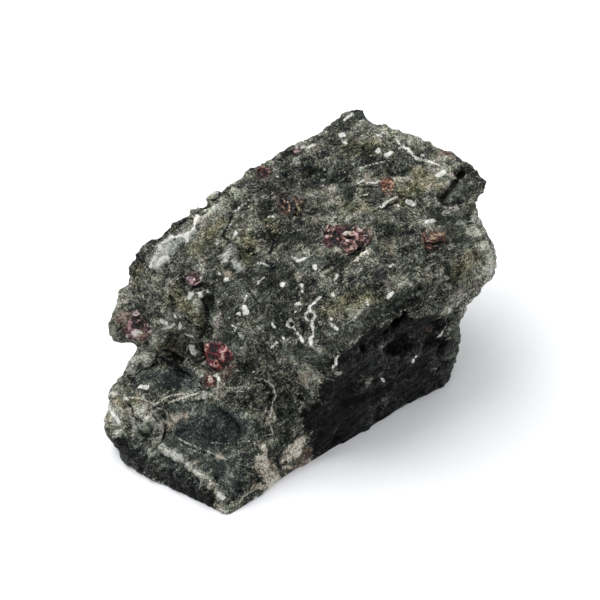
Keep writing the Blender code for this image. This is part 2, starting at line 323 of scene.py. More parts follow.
def break_off(piece, rock_tree, rock_places):
    """Lowers what stands above the rock round a crystal group, as it broke across with the rock."""
    places, normals = read(piece), read(piece, "normal")
    to_rock = np.array([rock_tree.find_nearest(Vector(place))[3] for place in places])
    out = normals[to_rock > CAP].mean(axis=0)
    out /= np.linalg.norm(out)
    middle = places.mean(axis=0)
    reach = np.linalg.norm(places - middle, axis=1).max() + RIM
    rim = rock_places[np.linalg.norm(rock_places - middle, axis=1) < reach] @ out
    level = np.percentile(rim, SUNKEN.get(piece.name, RIM_LEVEL))
    above = np.maximum(places @ out - level, 0)
    write(piece, places - (1 - PROUD_SHARE) * above[:, None] * out)
    print(piece.name, "stood", round(above.max(), 2), "mm proud")


def break_up(piece):
    """Presses chips into a crystal group and keeps each chip's number for the colour."""
    places, normals = read(piece), read(piece, "normal")
    numbers = []
    for row, place in enumerate(places):
        place = Vector(place)
        coarse, number = chips(place, CHIP, CHIP_LEAN)
        fine, _ = chips(place + Vector((9, 9, 9)), SPLINTER, SPLINTER_LEAN)
        places[row] += normals[row] * (coarse + fine)
        numbers.append(number)
    write(piece, places)
    store(piece, "chip", numbers)
    only(piece)
    bpy.ops.object.shade_smooth_by_angle(angle=GARNET_EDGE)


packed_rock = start_from("matrix", "packed_rock")
rock_tree, rock_places = tree_of(packed_rock), read(packed_rock)
bpy.data.objects.remove(packed_rock)

garnets = []
for node_name in GARNETS:
    piece = start_from(node_name, node_name.replace("garnet", "pyrope"))
    apply(piece, "REMESH", mode="VOXEL", voxel_size=GARNET_GRID * MM)
    break_off(piece, rock_tree, rock_places)
    break_up(piece)
    garnets.append(piece)
print(len(garnets), "garnets,", sum(len(piece.data.polygons) for piece in garnets) * 2, "triangles")

# %% [markdown]
# ## The stone
#
# The imported stone has the large breaks, ledges and clefts. Its copy is remeshed on a fine grid and
# relaxed, which takes away the imported model's facets, and then gets three sizes of chips and some
# fine noise. Pits are cut a little deeper than bumps stand proud, as on rock that was broken and
# then knocked about. The layers that run up to the right show as small ledges on the walls.

# %% Fine skin of the stone
STONE_GRID = 0.335
STONE_RELAX = 4

stone = start_from("matrix", "peridotite_lump")
apply(stone, "REMESH", mode="VOXEL", voxel_size=STONE_GRID * MM)
apply(stone, "SMOOTH", factor=0.5, iterations=STONE_RELAX)
print("stone", 2 * len(stone.data.polygons), "triangles")

# %% Broken surface of the stone
BLOCK_CHIP = (4.2, 0.19, 0.2)  # size in mm, lean and share in the colour of each order of chips
CHUNK_CHIP = (2.1, 0.23, 0.45)
FLAKE_CHIP = (1.0, 0.20, 0.35)
LAYER, LAYER_HEIGHT, LAYER_RISE = 1.5, 0.22, 0.29
PIT, PIT_DEPTH = 1.7, 0.4


def layer_height(place, wall):
    """The broken edges of the stone's layers, each a ledge that leans back under the next."""
    level = (place.z - LAYER_RISE * place.x) / LAYER + 0.8 * noise.noise(place / 6)
    across = level - math.floor(level)
    return wall * LAYER_HEIGHT * ((across if across < 0.8 else 4 * (1 - across)) - 0.5)


def broken_height(place, normal):
    """How far the broken surface stands from the relaxed one, in mm, and its chips' number, 0 to 1."""
    warped = place + 0.5 * noise.noise_vector(place / 1.6)
    rough = min(max(0.8 + 1.1 * noise.noise(place / 9 + Vector((4, 4, 4))), 0.35), 1.25)
    height = number = 0.0
    for order, (size, lean, share) in enumerate((BLOCK_CHIP, CHUNK_CHIP, FLAKE_CHIP)):
        rise, own = chips(warped + Vector((order, 0, 0)), size, lean)
        height += rise
        number += share * own
    pit = max(noise.noise(place / PIT + Vector((8, 1, 6))) - 0.28, 0)
    height += 0.08 * noise.noise(place / 0.7)
    wall = 1 - abs(normal[2])
    return rough * height + layer_height(place, wall) - PIT_DEPTH * rough * pit * 2, number


BASE_FADE = 0.8  # mm above the table over which the roughness grows
SOCKET_FADE = 1.4  # mm from a garnet over which it grows

garnet_tree = tree_of(*garnets)
places, normals = read(stone), read(stone, "normal")
numbers = []
for row, (place, normal) in enumerate(zip(places, normals)):
    distance = garnet_tree.find_nearest(Vector(place), SOCKET_FADE)[3] or SOCKET_FADE
    settled = min(max(place[2] / BASE_FADE, 0), 1) * (0.25 + 0.75 * distance / SOCKET_FADE)
    height, number = broken_height(Vector(place), normal)
    places[row] += normal * height * settled
    numbers.append(number)
write(stone, places)
store(stone, "chip", numbers)
print("stone broken")

# %% [markdown]
# ## Rock grown round the garnets
#
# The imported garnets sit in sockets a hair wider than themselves, as separate solids must. In the
# real stone nothing parts them, so the rock near a garnet is drawn onto it.

# %% Close the sockets
NEAR, HELD = 0.95, 0.5  # mm from a garnet at which the rock starts to lean to it, and touches it
SINK, RAGGED = 0.08, 0.55  # mm that the rock runs under a garnet's face, and in places over it

places = read(stone)
to_garnet = np.full(len(places), 9.0)
for row, place in enumerate(places):
    found, normal, _, distance = garnet_tree.find_nearest(Vector(place), 3.0)
    if found is None:
        continue
    inside = distance < HELD and (Vector(place) - found).dot(normal) < -0.7 * distance
    to_garnet[row] = 0 if inside else distance
    if distance < NEAR:
        pull = min((NEAR - distance) / (NEAR - HELD), 1)
        lap = RAGGED * max(noise.noise(Vector(place) / 0.8) + 0.5 * noise.noise(Vector(place) / 0.4), 0)
        places[row] += pull * (np.array(found + normal * (lap - SINK)) - place)
write(stone, places)
print((to_garnet < NEAR).sum(), "points drawn onto garnets")

# %% [markdown]
# ## Veins, spots and stains
#
# The stone's marks are what makes it this stone: a raised buff vein along the foot, calcite spots and
# rings on the slope, a beige crust by the lower corner. Each is a stroke laid out as it is seen in
# the camera's square picture, in pixels, and dropped from there onto the stone's surface. A stroke
# has half a width in millimetres. What is kept with the mesh is the distance to each kind of mark,
# and not a colour, because a material can draw a crisp, slightly ragged edge from a distance, finer
# than the mesh itself. Some marks are painted light and shade: the shade marks, the cracks and the
# black lower edge are painted shade, and a few small white spots are painted highlights.

# %% Strokes as the camera sees them
# kind: {name: (half width in mm, points in pixels)}
STROKES = {
    "calcite": {
        "horn_streak": (0.24, [(344, 120), (348, 117), (352, 114)]),
        "horn_foot": (0.15, [(358, 122), (364, 120)]),
        "peak_spot": (0.42, [(340, 136), (343, 135)]),
        "peak_drop": (0.30, [(343, 141), (345, 143)]),
        "back_spot": (0.30, [(309, 147), (313, 145)]),
        "back_edge_spot": (0.30, [(296, 150), (304, 147)]),
        "top_spot_a": (0.36, [(377, 152), (379, 150)]),
        "top_spot_b": (0.40, [(386, 155), (391, 152)]),
        "top_spot_c": (0.22, [(378, 135), (381, 136)]),
        "top_spot_d": (0.20, [(388, 142), (391, 144)]),
        "right_vein": (0.26, [(402, 146), (408, 149), (413, 155), (417, 159), (424, 160), (431, 162), (439, 165)]),
        "right_vein_tail": (0.15, [(396, 139), (399, 143), (402, 146)]),
        "right_vein_drop": (0.20, [(421, 155), (423, 155)]),
        "far_spot": (0.42, [(437, 176), (444, 172)]),
        "ridge_line": (0.12, [(360, 168), (370, 165), (382, 162)]),
        "shelf_line": (0.22, [(367, 183), (376, 183), (381, 180)]),
        "shelf_line_start": (0.16, [(358, 183), (364, 180)]),
        "hook": (0.24, [(378, 206), (382, 207), (386, 202), (393, 199), (397, 197)]),
        "hook_dot": (0.26, [(398, 205), (398, 206)]),
        "big_spot": (0.48, [(408, 202), (414, 204)]),
        "right_patch": (0.16, [(446, 214), (453, 211)]),
        "lilac_patch": (0.30, [(427, 222), (434, 220)]),
        "garnet_rim": (0.16, [(321, 235), (325, 231), (331, 226)]),
        "slope_y": (0.22, [(293, 257), (298, 261), (305, 258)]),
        "slope_dot_a": (0.34, [(315, 266), (315, 268)]),
        "slope_dot_b": (0.24, [(302, 285), (302, 287)]),
        "slope_dot_c": (0.22, [(302, 291), (303, 293)]),
        "slope_streak": (0.20, [(334, 281), (336, 278), (338, 274)]),
        "slope_dot_d": (0.26, [(333, 293), (333, 295)]),
        "ring_arm": (0.26, [(320, 297), (316, 301), (310, 306), (309, 310)]),
        "ring_big": (0.22, [(306, 313), (309, 311), (313, 312), (315, 316), (313, 320), (309, 321), (306, 318), (306, 313)]),
        "ring_tail": (0.20, [(311, 321), (313, 328), (313, 334), (311, 343)]),
        "ring_tail_end": (0.34, [(311, 339), (311, 344)]),
        "ring_small": (0.22, [(287, 322), (290, 320), (293, 322), (293, 326), (290, 328), (287, 326), (287, 322)]),
        "ring_line": (0.22, [(293, 327), (296, 331), (300, 336), (303, 342)]),
        "diamond": (0.34, [(296, 304), (300, 303)]),
        "ring_dot": (0.22, [(295, 312), (297, 311)]),
        "stray_a": (0.22, [(272, 324), (274, 327)]),
        "stray_b": (0.20, [(277, 342), (272, 347)]),
        "stray_c": (0.28, [(283, 338), (284, 339)]),
        "stray_d": (0.20, [(330, 323), (334, 327), (338, 330)]),
        "stray_e": (0.22, [(367, 300), (368, 305)]),
        "stray_f": (0.30, [(388, 297), (392, 293)]),
        "stray_g": (0.20, [(330, 318), (331, 319)]),
        "stray_h": (0.20, [(389, 267), (393, 264), (396, 266)]),
        "slope_spot": (0.52, [(244, 308), (246, 312)]),
        "slope_spot_up": (0.16, [(244, 301), (247, 295)]),
        "slope_spot_left": (0.26, [(237, 313), (238, 314)]),
        "slope_spot_far": (0.18, [(229, 318), (230, 318)]),
        "claw": (0.24, [(232, 332), (235, 330), (236, 327), (233, 326)]),
        "left_drop": (0.40, [(191, 293), (189, 298)]),
        "left_drop_by": (0.34, [(200, 294), (202, 297)]),
        "left_drop_far": (0.20, [(207, 290), (208, 293)]),
        "left_spot_a": (0.28, [(175, 315), (176, 318)]),
        "left_spot_b": (0.36, [(162, 321), (166, 323)]),
        "left_spot_c": (0.26, [(166, 328), (171, 327), (174, 324)]),
        "left_spot_d": (0.34, [(180, 324), (180, 328)]),
        "left_cream": (0.34, [(187, 335), (193, 337)]),
        "high_spot": (0.34, [(282, 284), (283, 285)]),
        "high_streak": (0.16, [(258, 283), (264, 277)]),
        "twin_a": (0.24, [(218, 273), (219, 274)]),
        "twin_b": (0.28, [(225, 279), (228, 279)]),
        "shoulder_bolt": (0.26, [(186, 235), (190, 232), (194, 229), (195, 220), (199, 212)]),
        "shoulder_link": (0.26, [(178, 236), (186, 235), (187, 240)]),
        "shoulder_rim": (0.20, [(150, 267), (153, 260), (158, 250), (163, 242), (171, 237), (177, 237)]),
        "shoulder_blot": (0.50, [(159, 263), (163, 260), (167, 258)]),
        # shoulder_glint is a painted highlight along the shoulder's edge, drawn in calcite white.
        "shoulder_glint": (0.16, [(202, 210), (208, 207), (213, 204)]),
        "edge_streak": (0.12, [(218, 200), (222, 196)]),
        "mid_streak": (0.18, [(231, 212), (236, 211), (240, 207), (243, 203)]),
        "mid_drop": (0.20, [(217, 244), (220, 240)]),
        "mid_dot": (0.20, [(236, 232), (235, 236)]),
        "mid_line": (0.12, [(232, 222), (227, 229)]),
        "upper_arc": (0.12, [(268, 217), (274, 216), (279, 214)]),
        "long_arc": (0.13, [(253, 266), (258, 263), (264, 263), (269, 267)]),
        "garnet_left_white": (0.50, [(194, 345), (195, 354)]),
        "garnet_low_white": (0.28, [(217, 374), (219, 380)]),
        "foot_spot": (0.40, [(140, 387), (147, 387)]),
        "foot_end_spot": (0.30, [(111, 412), (115, 416), (119, 421)]),
        "foot_end_streak": (0.16, [(107, 399), (108, 404), (110, 409)]),
        "foot_end_line": (0.12, [(113, 436), (120, 431), (127, 426)]),
        # The small spot at the foot end is a painted highlight, drawn in calcite white.
        "foot_glint": (0.18, [(123, 397), (128, 400)]),
        "tip_spot": (0.36, [(219, 495), (223, 498)]),
        "tip_line_spot": (0.26, [(255, 498), (257, 498)]),
        "band_bright": (0.20, [(200, 472), (205, 476)]),
        "wall_streak": (0.26, [(414, 354), (413, 361)]),
        "wall_spot": (0.28, [(382, 379), (383, 381)]),
        "wall_edge_spot": (0.20, [(414, 401), (416, 400)]),
        "wall_vein": (0.18, [(333, 366), (336, 363), (336, 358), (340, 355)]),
        "neck_streak": (0.14, [(444, 326), (440, 334), (437, 338)]),
    },
    "milky": {
        "shoulder_patch": (1.25, [(156, 262), (162, 253), (170, 243)]),
        "shoulder_patch_right": (0.7, [(174, 246), (180, 239), (189, 233)]),
        "mid_patch": (0.70, [(225, 258), (228, 253)]),
        "mid_patch_up": (0.42, [(230, 250), (235, 248)]),
        "low_patch": (0.45, [(236, 262), (240, 268)]),
        "right_patch_milk": (0.45, [(446, 214), (456, 209)]),
        "knuckle_milk": (0.36, [(134, 362), (146, 357)]),
        "knuckle_milk_low": (0.4, [(130, 370), (137, 375)]),
        "band_milk": (0.20, [(163, 449), (172, 452), (181, 458), (189, 465), (197, 472), (206, 478)]),
        "foot_end_milk": (0.4, [(108, 402), (112, 412), (120, 423)]),
        "foot_end_milk_top": (0.35, [(107, 395), (118, 394), (128, 399)]),
        "foot_end_milk_mid": (0.2, [(131, 418), (138, 429)]),
    },
    "vein": {
        "front_vein": (0.10, [(154, 405), (161, 402), (166, 398), (171, 396), (177, 395), (184, 394)]),
        "front_vein_right": (0.09, [(168, 403), (176, 400), (184, 398), (196, 394), (206, 392)]),
        "front_vein_end": (0.05, [(222, 387), (232, 388), (240, 387), (247, 385)]),
        "upper_vein": (0.05, [(224, 396), (227, 391), (236, 392), (245, 391), (250, 388), (256, 385), (261, 384)]),
        "loop_vein": (0.05, [(255, 378), (264, 379), (270, 382), (275, 390), (276, 396), (272, 403), (270, 412),
                             (268, 419), (270, 428), (272, 433)]),
        "loop_vein_inner": (0.04, [(268, 380), (272, 386), (273, 394)]),
        "front_curl": (0.05, [(156, 408), (163, 409), (167, 413), (168, 418)]),
        "lump_edge": (0.06, [(161, 421), (163, 431), (159, 442)]),
        "thin_line": (0.05, [(176, 437), (184, 441), (192, 445), (203, 449), (214, 454), (222, 457), (231, 461)]),
        "thin_line_upper": (0.03, [(211, 442), (220, 442), (230, 443), (242, 441), (250, 441)]),
        "corner_line": (0.10, [(239, 503), (243, 497), (250, 492), (261, 486), (268, 482)]),
        "corner_line_left": (0.12, [(209, 485), (214, 484), (220, 486)]),
        "foot_rim": (0.07, [(108, 396), (117, 394), (126, 398), (135, 398), (143, 399), (154, 404)]),
    },
    "crust": {
        "crust_left": (1.15, [(260, 461), (266, 472), (270, 482)]),
        "crust_left_low": (0.60, [(254, 487), (264, 487), (274, 484)]),
        "crust_top": (0.42, [(262, 447), (265, 451)]),
        "crust_mid": (0.50, [(270, 462), (275, 470), (277, 478)]),
        "crust_right": (0.90, [(288, 452), (295, 446), (301, 441)]),
        "crust_right_low": (0.55, [(283, 460), (292, 458), (300, 452)]),
        "crust_corner": (0.36, [(284, 467), (291, 467)]),
        "garnet_cream": (0.26, [(352, 261), (358, 257), (364, 253), (370, 251)]),
        "garnet_cream_top": (0.28, [(353, 236), (358, 233)]),
    },
    # Painted shade: thin dark lines where crevices and cracks would hold shade.
    "crevice_shade": {
        "under_front_vein": (0.10, [(153, 407), (163, 405), (172, 400), (180, 404), (196, 401), (212, 399)]),
        "lump_v": (0.16, [(128, 404), (132, 408), (135, 414), (140, 421)]),
        "lump_pit_a": (0.20, [(141, 418), (143, 423)]),
        "lump_pit_b": (0.18, [(149, 424), (152, 428), (150, 433)]),
        "lump_pit_c": (0.20, [(140, 432), (145, 436)]),
        "lump_pit_d": (0.14, [(153, 415), (157, 421)]),
        "lump_side": (0.12, [(162, 412), (165, 419), (165, 428), (163, 438), (160, 446)]),
        "knuckle_line": (0.14, [(157, 352), (156, 361), (148, 367), (138, 373), (133, 380)]),
        "cleft_line": (0.24, [(160, 357), (170, 362), (180, 366), (188, 373)]),
        "cleft_line_up": (0.20, [(164, 350), (175, 352), (184, 359)]),
        "under_thin_line": (0.08, [(180, 442), (192, 448), (206, 453), (222, 460)]),
        "loop_crevice_shade": (0.10, [(258, 382), (267, 385), (271, 393), (270, 404), (266, 416)]),
        "garnet_front_crevice_shade": (0.20, [(203, 366), (208, 369), (214, 370)]),
        "garnet_low_crevice_shade": (0.14, [(198, 388), (203, 391), (210, 389)]),
        "shelf_crevice_shade": (0.14, [(356, 186), (366, 187), (376, 187), (384, 184)]),
        "hook_crevice_shade": (0.14, [(378, 209), (384, 209), (389, 205), (396, 203)]),
        "garnet_top_crevice_shade": (0.10, [(322, 222), (334, 220), (346, 219), (358, 221), (367, 221)]),
        "centre_crevice_shade": (0.22, [(357, 256), (362, 250), (367, 246)]),
        "far_crevice_shade": (0.40, [(441, 201), (446, 193), (452, 187), (457, 179), (463, 171)]),
        "far_crack_low": (0.22, [(440, 204), (450, 206), (462, 203)]),
        "trench_crevice_shade": (0.22, [(203, 300), (207, 312), (206, 326), (200, 338)]),
        "shoulder_crevice_shade": (0.14, [(232, 216), (228, 226), (222, 236), (228, 240)]),
        "ridge_crevice_shade": (0.14, [(268, 230), (274, 242), (270, 254)]),
        "mid_crevice_shade": (0.12, [(247, 288), (254, 298), (262, 306)]),
        "slope_crevice_shade": (0.12, [(322, 270), (330, 262), (340, 258)]),
        "slope_crack_low": (0.12, [(300, 320), (304, 330), (300, 342)]),
        "wall_crack_a": (0.20, [(372, 356), (386, 346), (398, 338), (410, 326)]),
        "wall_crack_b": (0.16, [(330, 400), (340, 394), (348, 396)]),
        "wall_crack_c": (0.16, [(404, 372), (418, 366), (430, 358), (442, 356)]),
    },
    "tan": {
        "tan_left": (0.6, [(168, 424), (174, 419)]),
        "tan_right": (0.55, [(178, 417), (185, 415)]),
        "tan_spot": (0.32, [(218, 456), (222, 458)]),
        "brown_edge": (0.45, [(442, 152), (447, 152)]),
        "brown_shelf": (0.62, [(366, 172), (368, 178)]),
        "brown_right": (0.35, [(226, 366), (229, 372)]),
        "brown_facet": (0.40, [(303, 374), (305, 384)]),
        "brown_by_twins": (0.35, [(226, 273), (229, 275)]),
        "yellow_blob": (0.55, [(389, 246), (390, 252)]),
        "rust_by_foot": (0.50, [(306, 454), (310, 462)]),
    },
    "blush": {
        "front_garnet_side": (0.8, [(222, 362), (230, 368), (226, 374)]),
        "front_garnet_low": (0.5, [(206, 371), (214, 373)]),
        "left_garnet_haze": (0.9, [(122, 318), (134, 322), (140, 336)]),
        "centre_garnet_haze": (0.6, [(362, 236), (368, 232)]),
        "right_upper_haze": (0.7, [(386, 180), (390, 194)]),
        "crust_rust": (0.5, [(302, 452), (306, 462), (298, 466)]),
        "far_edge_brown": (0.5, [(442, 152), (450, 156)]),
    },
    "olive": {
        "olive_left": (1.3, [(176, 296), (190, 312), (200, 322)]),
        "olive_edge": (0.8, [(137, 266), (136, 280)]),
        "olive_mid": (1.5, [(247, 240), (250, 254), (245, 264)]),
        "olive_upper": (1.2, [(268, 222), (276, 228), (272, 238)]),
        "olive_shoulder": (1.3, [(197, 248), (212, 232), (222, 222)]),
        "olive_top": (1.9, [(400, 200), (413, 188), (428, 180)]),
        "olive_top_right": (1.3, [(418, 170), (436, 184)]),
        "olive_peak": (1.5, [(350, 146), (362, 152), (374, 146)]),
        "olive_right": (1.2, [(345, 205), (368, 208)]),
        "olive_lobe": (1.6, [(455, 275), (470, 262)]),
        "olive_foot": (0.9, [(120, 402), (138, 400)]),
        "olive_cleft": (1.0, [(160, 345), (172, 350)]),
        "olive_slope": (1.4, [(330, 310), (350, 300), (372, 296)]),
    },
    "pale": {
        "pale_foot_end": (1.0, [(112, 406), (125, 412), (140, 410), (148, 420), (140, 432)]),
        "pale_shoulder_low": (1.8, [(160, 286), (176, 298), (196, 304)]),
        "pale_shoulder_mid": (1.6, [(172, 262), (190, 252), (204, 236)]),
        "pale_top_edge": (1.2, [(378, 128), (400, 136), (425, 148), (440, 158)]),
        "pale_knuckle": (1.5, [(128, 364), (142, 358), (150, 352)]),
        "pale_band": (0.36, [(160, 449), (171, 453), (180, 459), (189, 466), (198, 472), (205, 477)]),
        "pale_shoulder": (1.9, [(158, 258), (168, 248)]),
        "pale_back": (1.6, [(205, 212), (222, 196), (242, 182)]),
        "pale_neck": (0.5, [(457, 315), (455, 335), (449, 355)]),
        "pale_lobe": (1.9, [(462, 268), (476, 255), (484, 268)]),
        "pale_speckle": (2.0, [(352, 300), (375, 292), (396, 286)]),
        "pale_facet": (1.0, [(304, 366), (312, 376)]),
        "pale_far_right": (1.0, [(402, 178), (420, 176), (436, 180)]),
        "pale_left_edge": (1.3, [(112, 338), (122, 342), (132, 340)]),
        "pale_left_top": (1.3, [(122, 312), (136, 300), (148, 286)]),
    },
    "slate": {
        "slate_foot_top": (1.7, [(142, 382), (160, 376), (180, 374), (196, 386)]),
        "slate_foot_front": (2.4, [(184, 414), (208, 422), (238, 430)]),
        "slate_foot_front_low": (1.9, [(178, 440), (205, 452), (234, 460)]),
        "slate_foot_low": (1.7, [(210, 458), (222, 470), (232, 484)]),
        "slate_band": (1.6, [(124, 446), (144, 458), (176, 474), (196, 488)]),
            },
    "black": {
        # The lower edge stroke is painted shade where the underside turns down to the paper; the wall strokes are
        # the rock's own black.
        "lower_edge": (2.0, [(114, 444), (134, 460), (156, 472), (182, 487), (204, 501)]),
        "wall_high": (2.4, [(347, 362), (380, 339), (410, 329), (432, 326)]),
        "wall_middle": (3.2, [(338, 390), (365, 369), (400, 349), (422, 338)]),
        "wall_low": (3.6, [(328, 420), (350, 402), (385, 384), (420, 366), (436, 358)]),
        "wall_right": (1.6, [(440, 348), (442, 362), (444, 374)]),
        "wall_base": (3.2, [(316, 452), (345, 434), (390, 408), (425, 388), (440, 380)]),
    },
    # Painted shade: darker in clefts, under ledges and knobs, and on faces turned from the light; some strokes
    # darken the rock's own tone as well.
    "shade": {
        "peak_shade": (0.9, [(325, 128), (342, 127)]),
        "back_top_shade": (0.6, [(288, 153), (302, 150)]),
        "top_mid_shade": (1.4, [(330, 172), (346, 184), (350, 205)]),
        "right_mid_shade": (1.0, [(388, 230), (408, 232)]),
        "right_low_shade": (1.2, [(402, 262), (412, 272)]),
        "shoulder_shade_right": (1.3, [(204, 246), (212, 256)]),
        "claw_shade": (1.5, [(225, 286), (246, 284)]),
        "slope_shade_left": (1.5, [(228, 304), (230, 330), (232, 350)]),
        "slope_shade_high": (1.4, [(288, 250), (308, 264), (330, 262), (350, 264)]),
        "centre_right_shade": (0.9, [(368, 238), (375, 249)]),
        "ring_shade": (1.3, [(328, 326), (342, 334)]),
        "slope_shade_foot": (1.7, [(284, 350), (306, 352), (326, 364)]),
        "foot_corner_shade": (1.2, [(147, 374), (150, 392)]),
        "front_right_shade": (1.3, [(246, 424), (264, 430)]),
        "under_band": (1.2, [(162, 440), (178, 446), (192, 454)]),
        "foot_end_shade": (1.0, [(150, 424), (146, 440), (156, 450)]),
        "facet_shade": (1.5, [(276, 392), (288, 410), (284, 436)]),
        "facet_shade_upper": (0.8, [(262, 350), (276, 366), (270, 380)]),
        "foot_low_shade": (1.8, [(214, 452), (226, 464), (232, 480)]),
        "neck_shade": (2.2, [(450, 316), (457, 335), (452, 356)]),
        "under_knob": (1.8, [(432, 214), (450, 226), (462, 240)]),
        "foot_front_shade": (2.2, [(186, 412), (206, 414), (226, 424)]),
        "foot_low_left": (1.6, [(128, 448), (146, 456), (166, 466)]),
        "by_lower_garnet": (0.7, [(196, 363), (204, 371)]),
        "slope_shade_mid": (1.7, [(255, 300), (270, 318), (282, 332)]),
        "wall_top_shade": (1.8, [(345, 338), (372, 318), (398, 302), (424, 290)]),
        "front_shade": (2.6, [(196, 428), (215, 436), (240, 430)]),
        "front_shade_top": (1.4, [(160, 412), (185, 408), (210, 408)]),
        "foot_top_shade": (1.4, [(160, 385), (175, 380), (190, 386), (206, 388)]),
        "cleft_dark": (0.9, [(155, 356), (163, 358), (170, 356)]),
        "trench": (1.3, [(210, 272), (211, 290), (209, 305), (205, 320), (203, 334)]),
        "trench_top": (1.1, [(214, 262), (222, 268), (236, 270)]),
        "mid_shade": (2.0, [(256, 262), (270, 280), (262, 300)]),
        "mid_shade_upper": (0.9, [(262, 236), (282, 240), (302, 238)]),
        "slope_shade": (1.5, [(282, 268), (292, 290), (286, 306)]),
        "slope_shade_low": (1.3, [(318, 336), (335, 345), (328, 352)]),
        "top_shade": (1.0, [(300, 168), (316, 172), (334, 180)]),
        "top_shade_edge": (1.0, [(255, 196), (268, 203), (262, 214)]),
        "foot_end_dark": (1.0, [(140, 430), (148, 436), (143, 424)]),
        "lower_dark": (1.6, [(122, 452), (140, 464), (160, 474), (185, 486)]),
        "neck_dark": (0.9, [(436, 314), (440, 330), (436, 346)]),
        "end_dark": (1.4, [(444, 200), (454, 192), (466, 186)]),
        "lobe_dark": (1.0, [(430, 262), (446, 262), (452, 282)]),
        "left_rim_dark": (0.4, [(128, 280), (134, 262), (146, 250), (160, 240)]),
    },
}
print(sum(len(strokes) for strokes in STROKES.values()), "strokes of", len(STROKES), "kinds")

# %% [markdown]
# Some marks have a shape too. Crevices are cut in, rims and the front vein stand a little proud, and
# the calcite rings have a pit in the middle where a grain fell out. These use the same strokes, with
# a height as well.

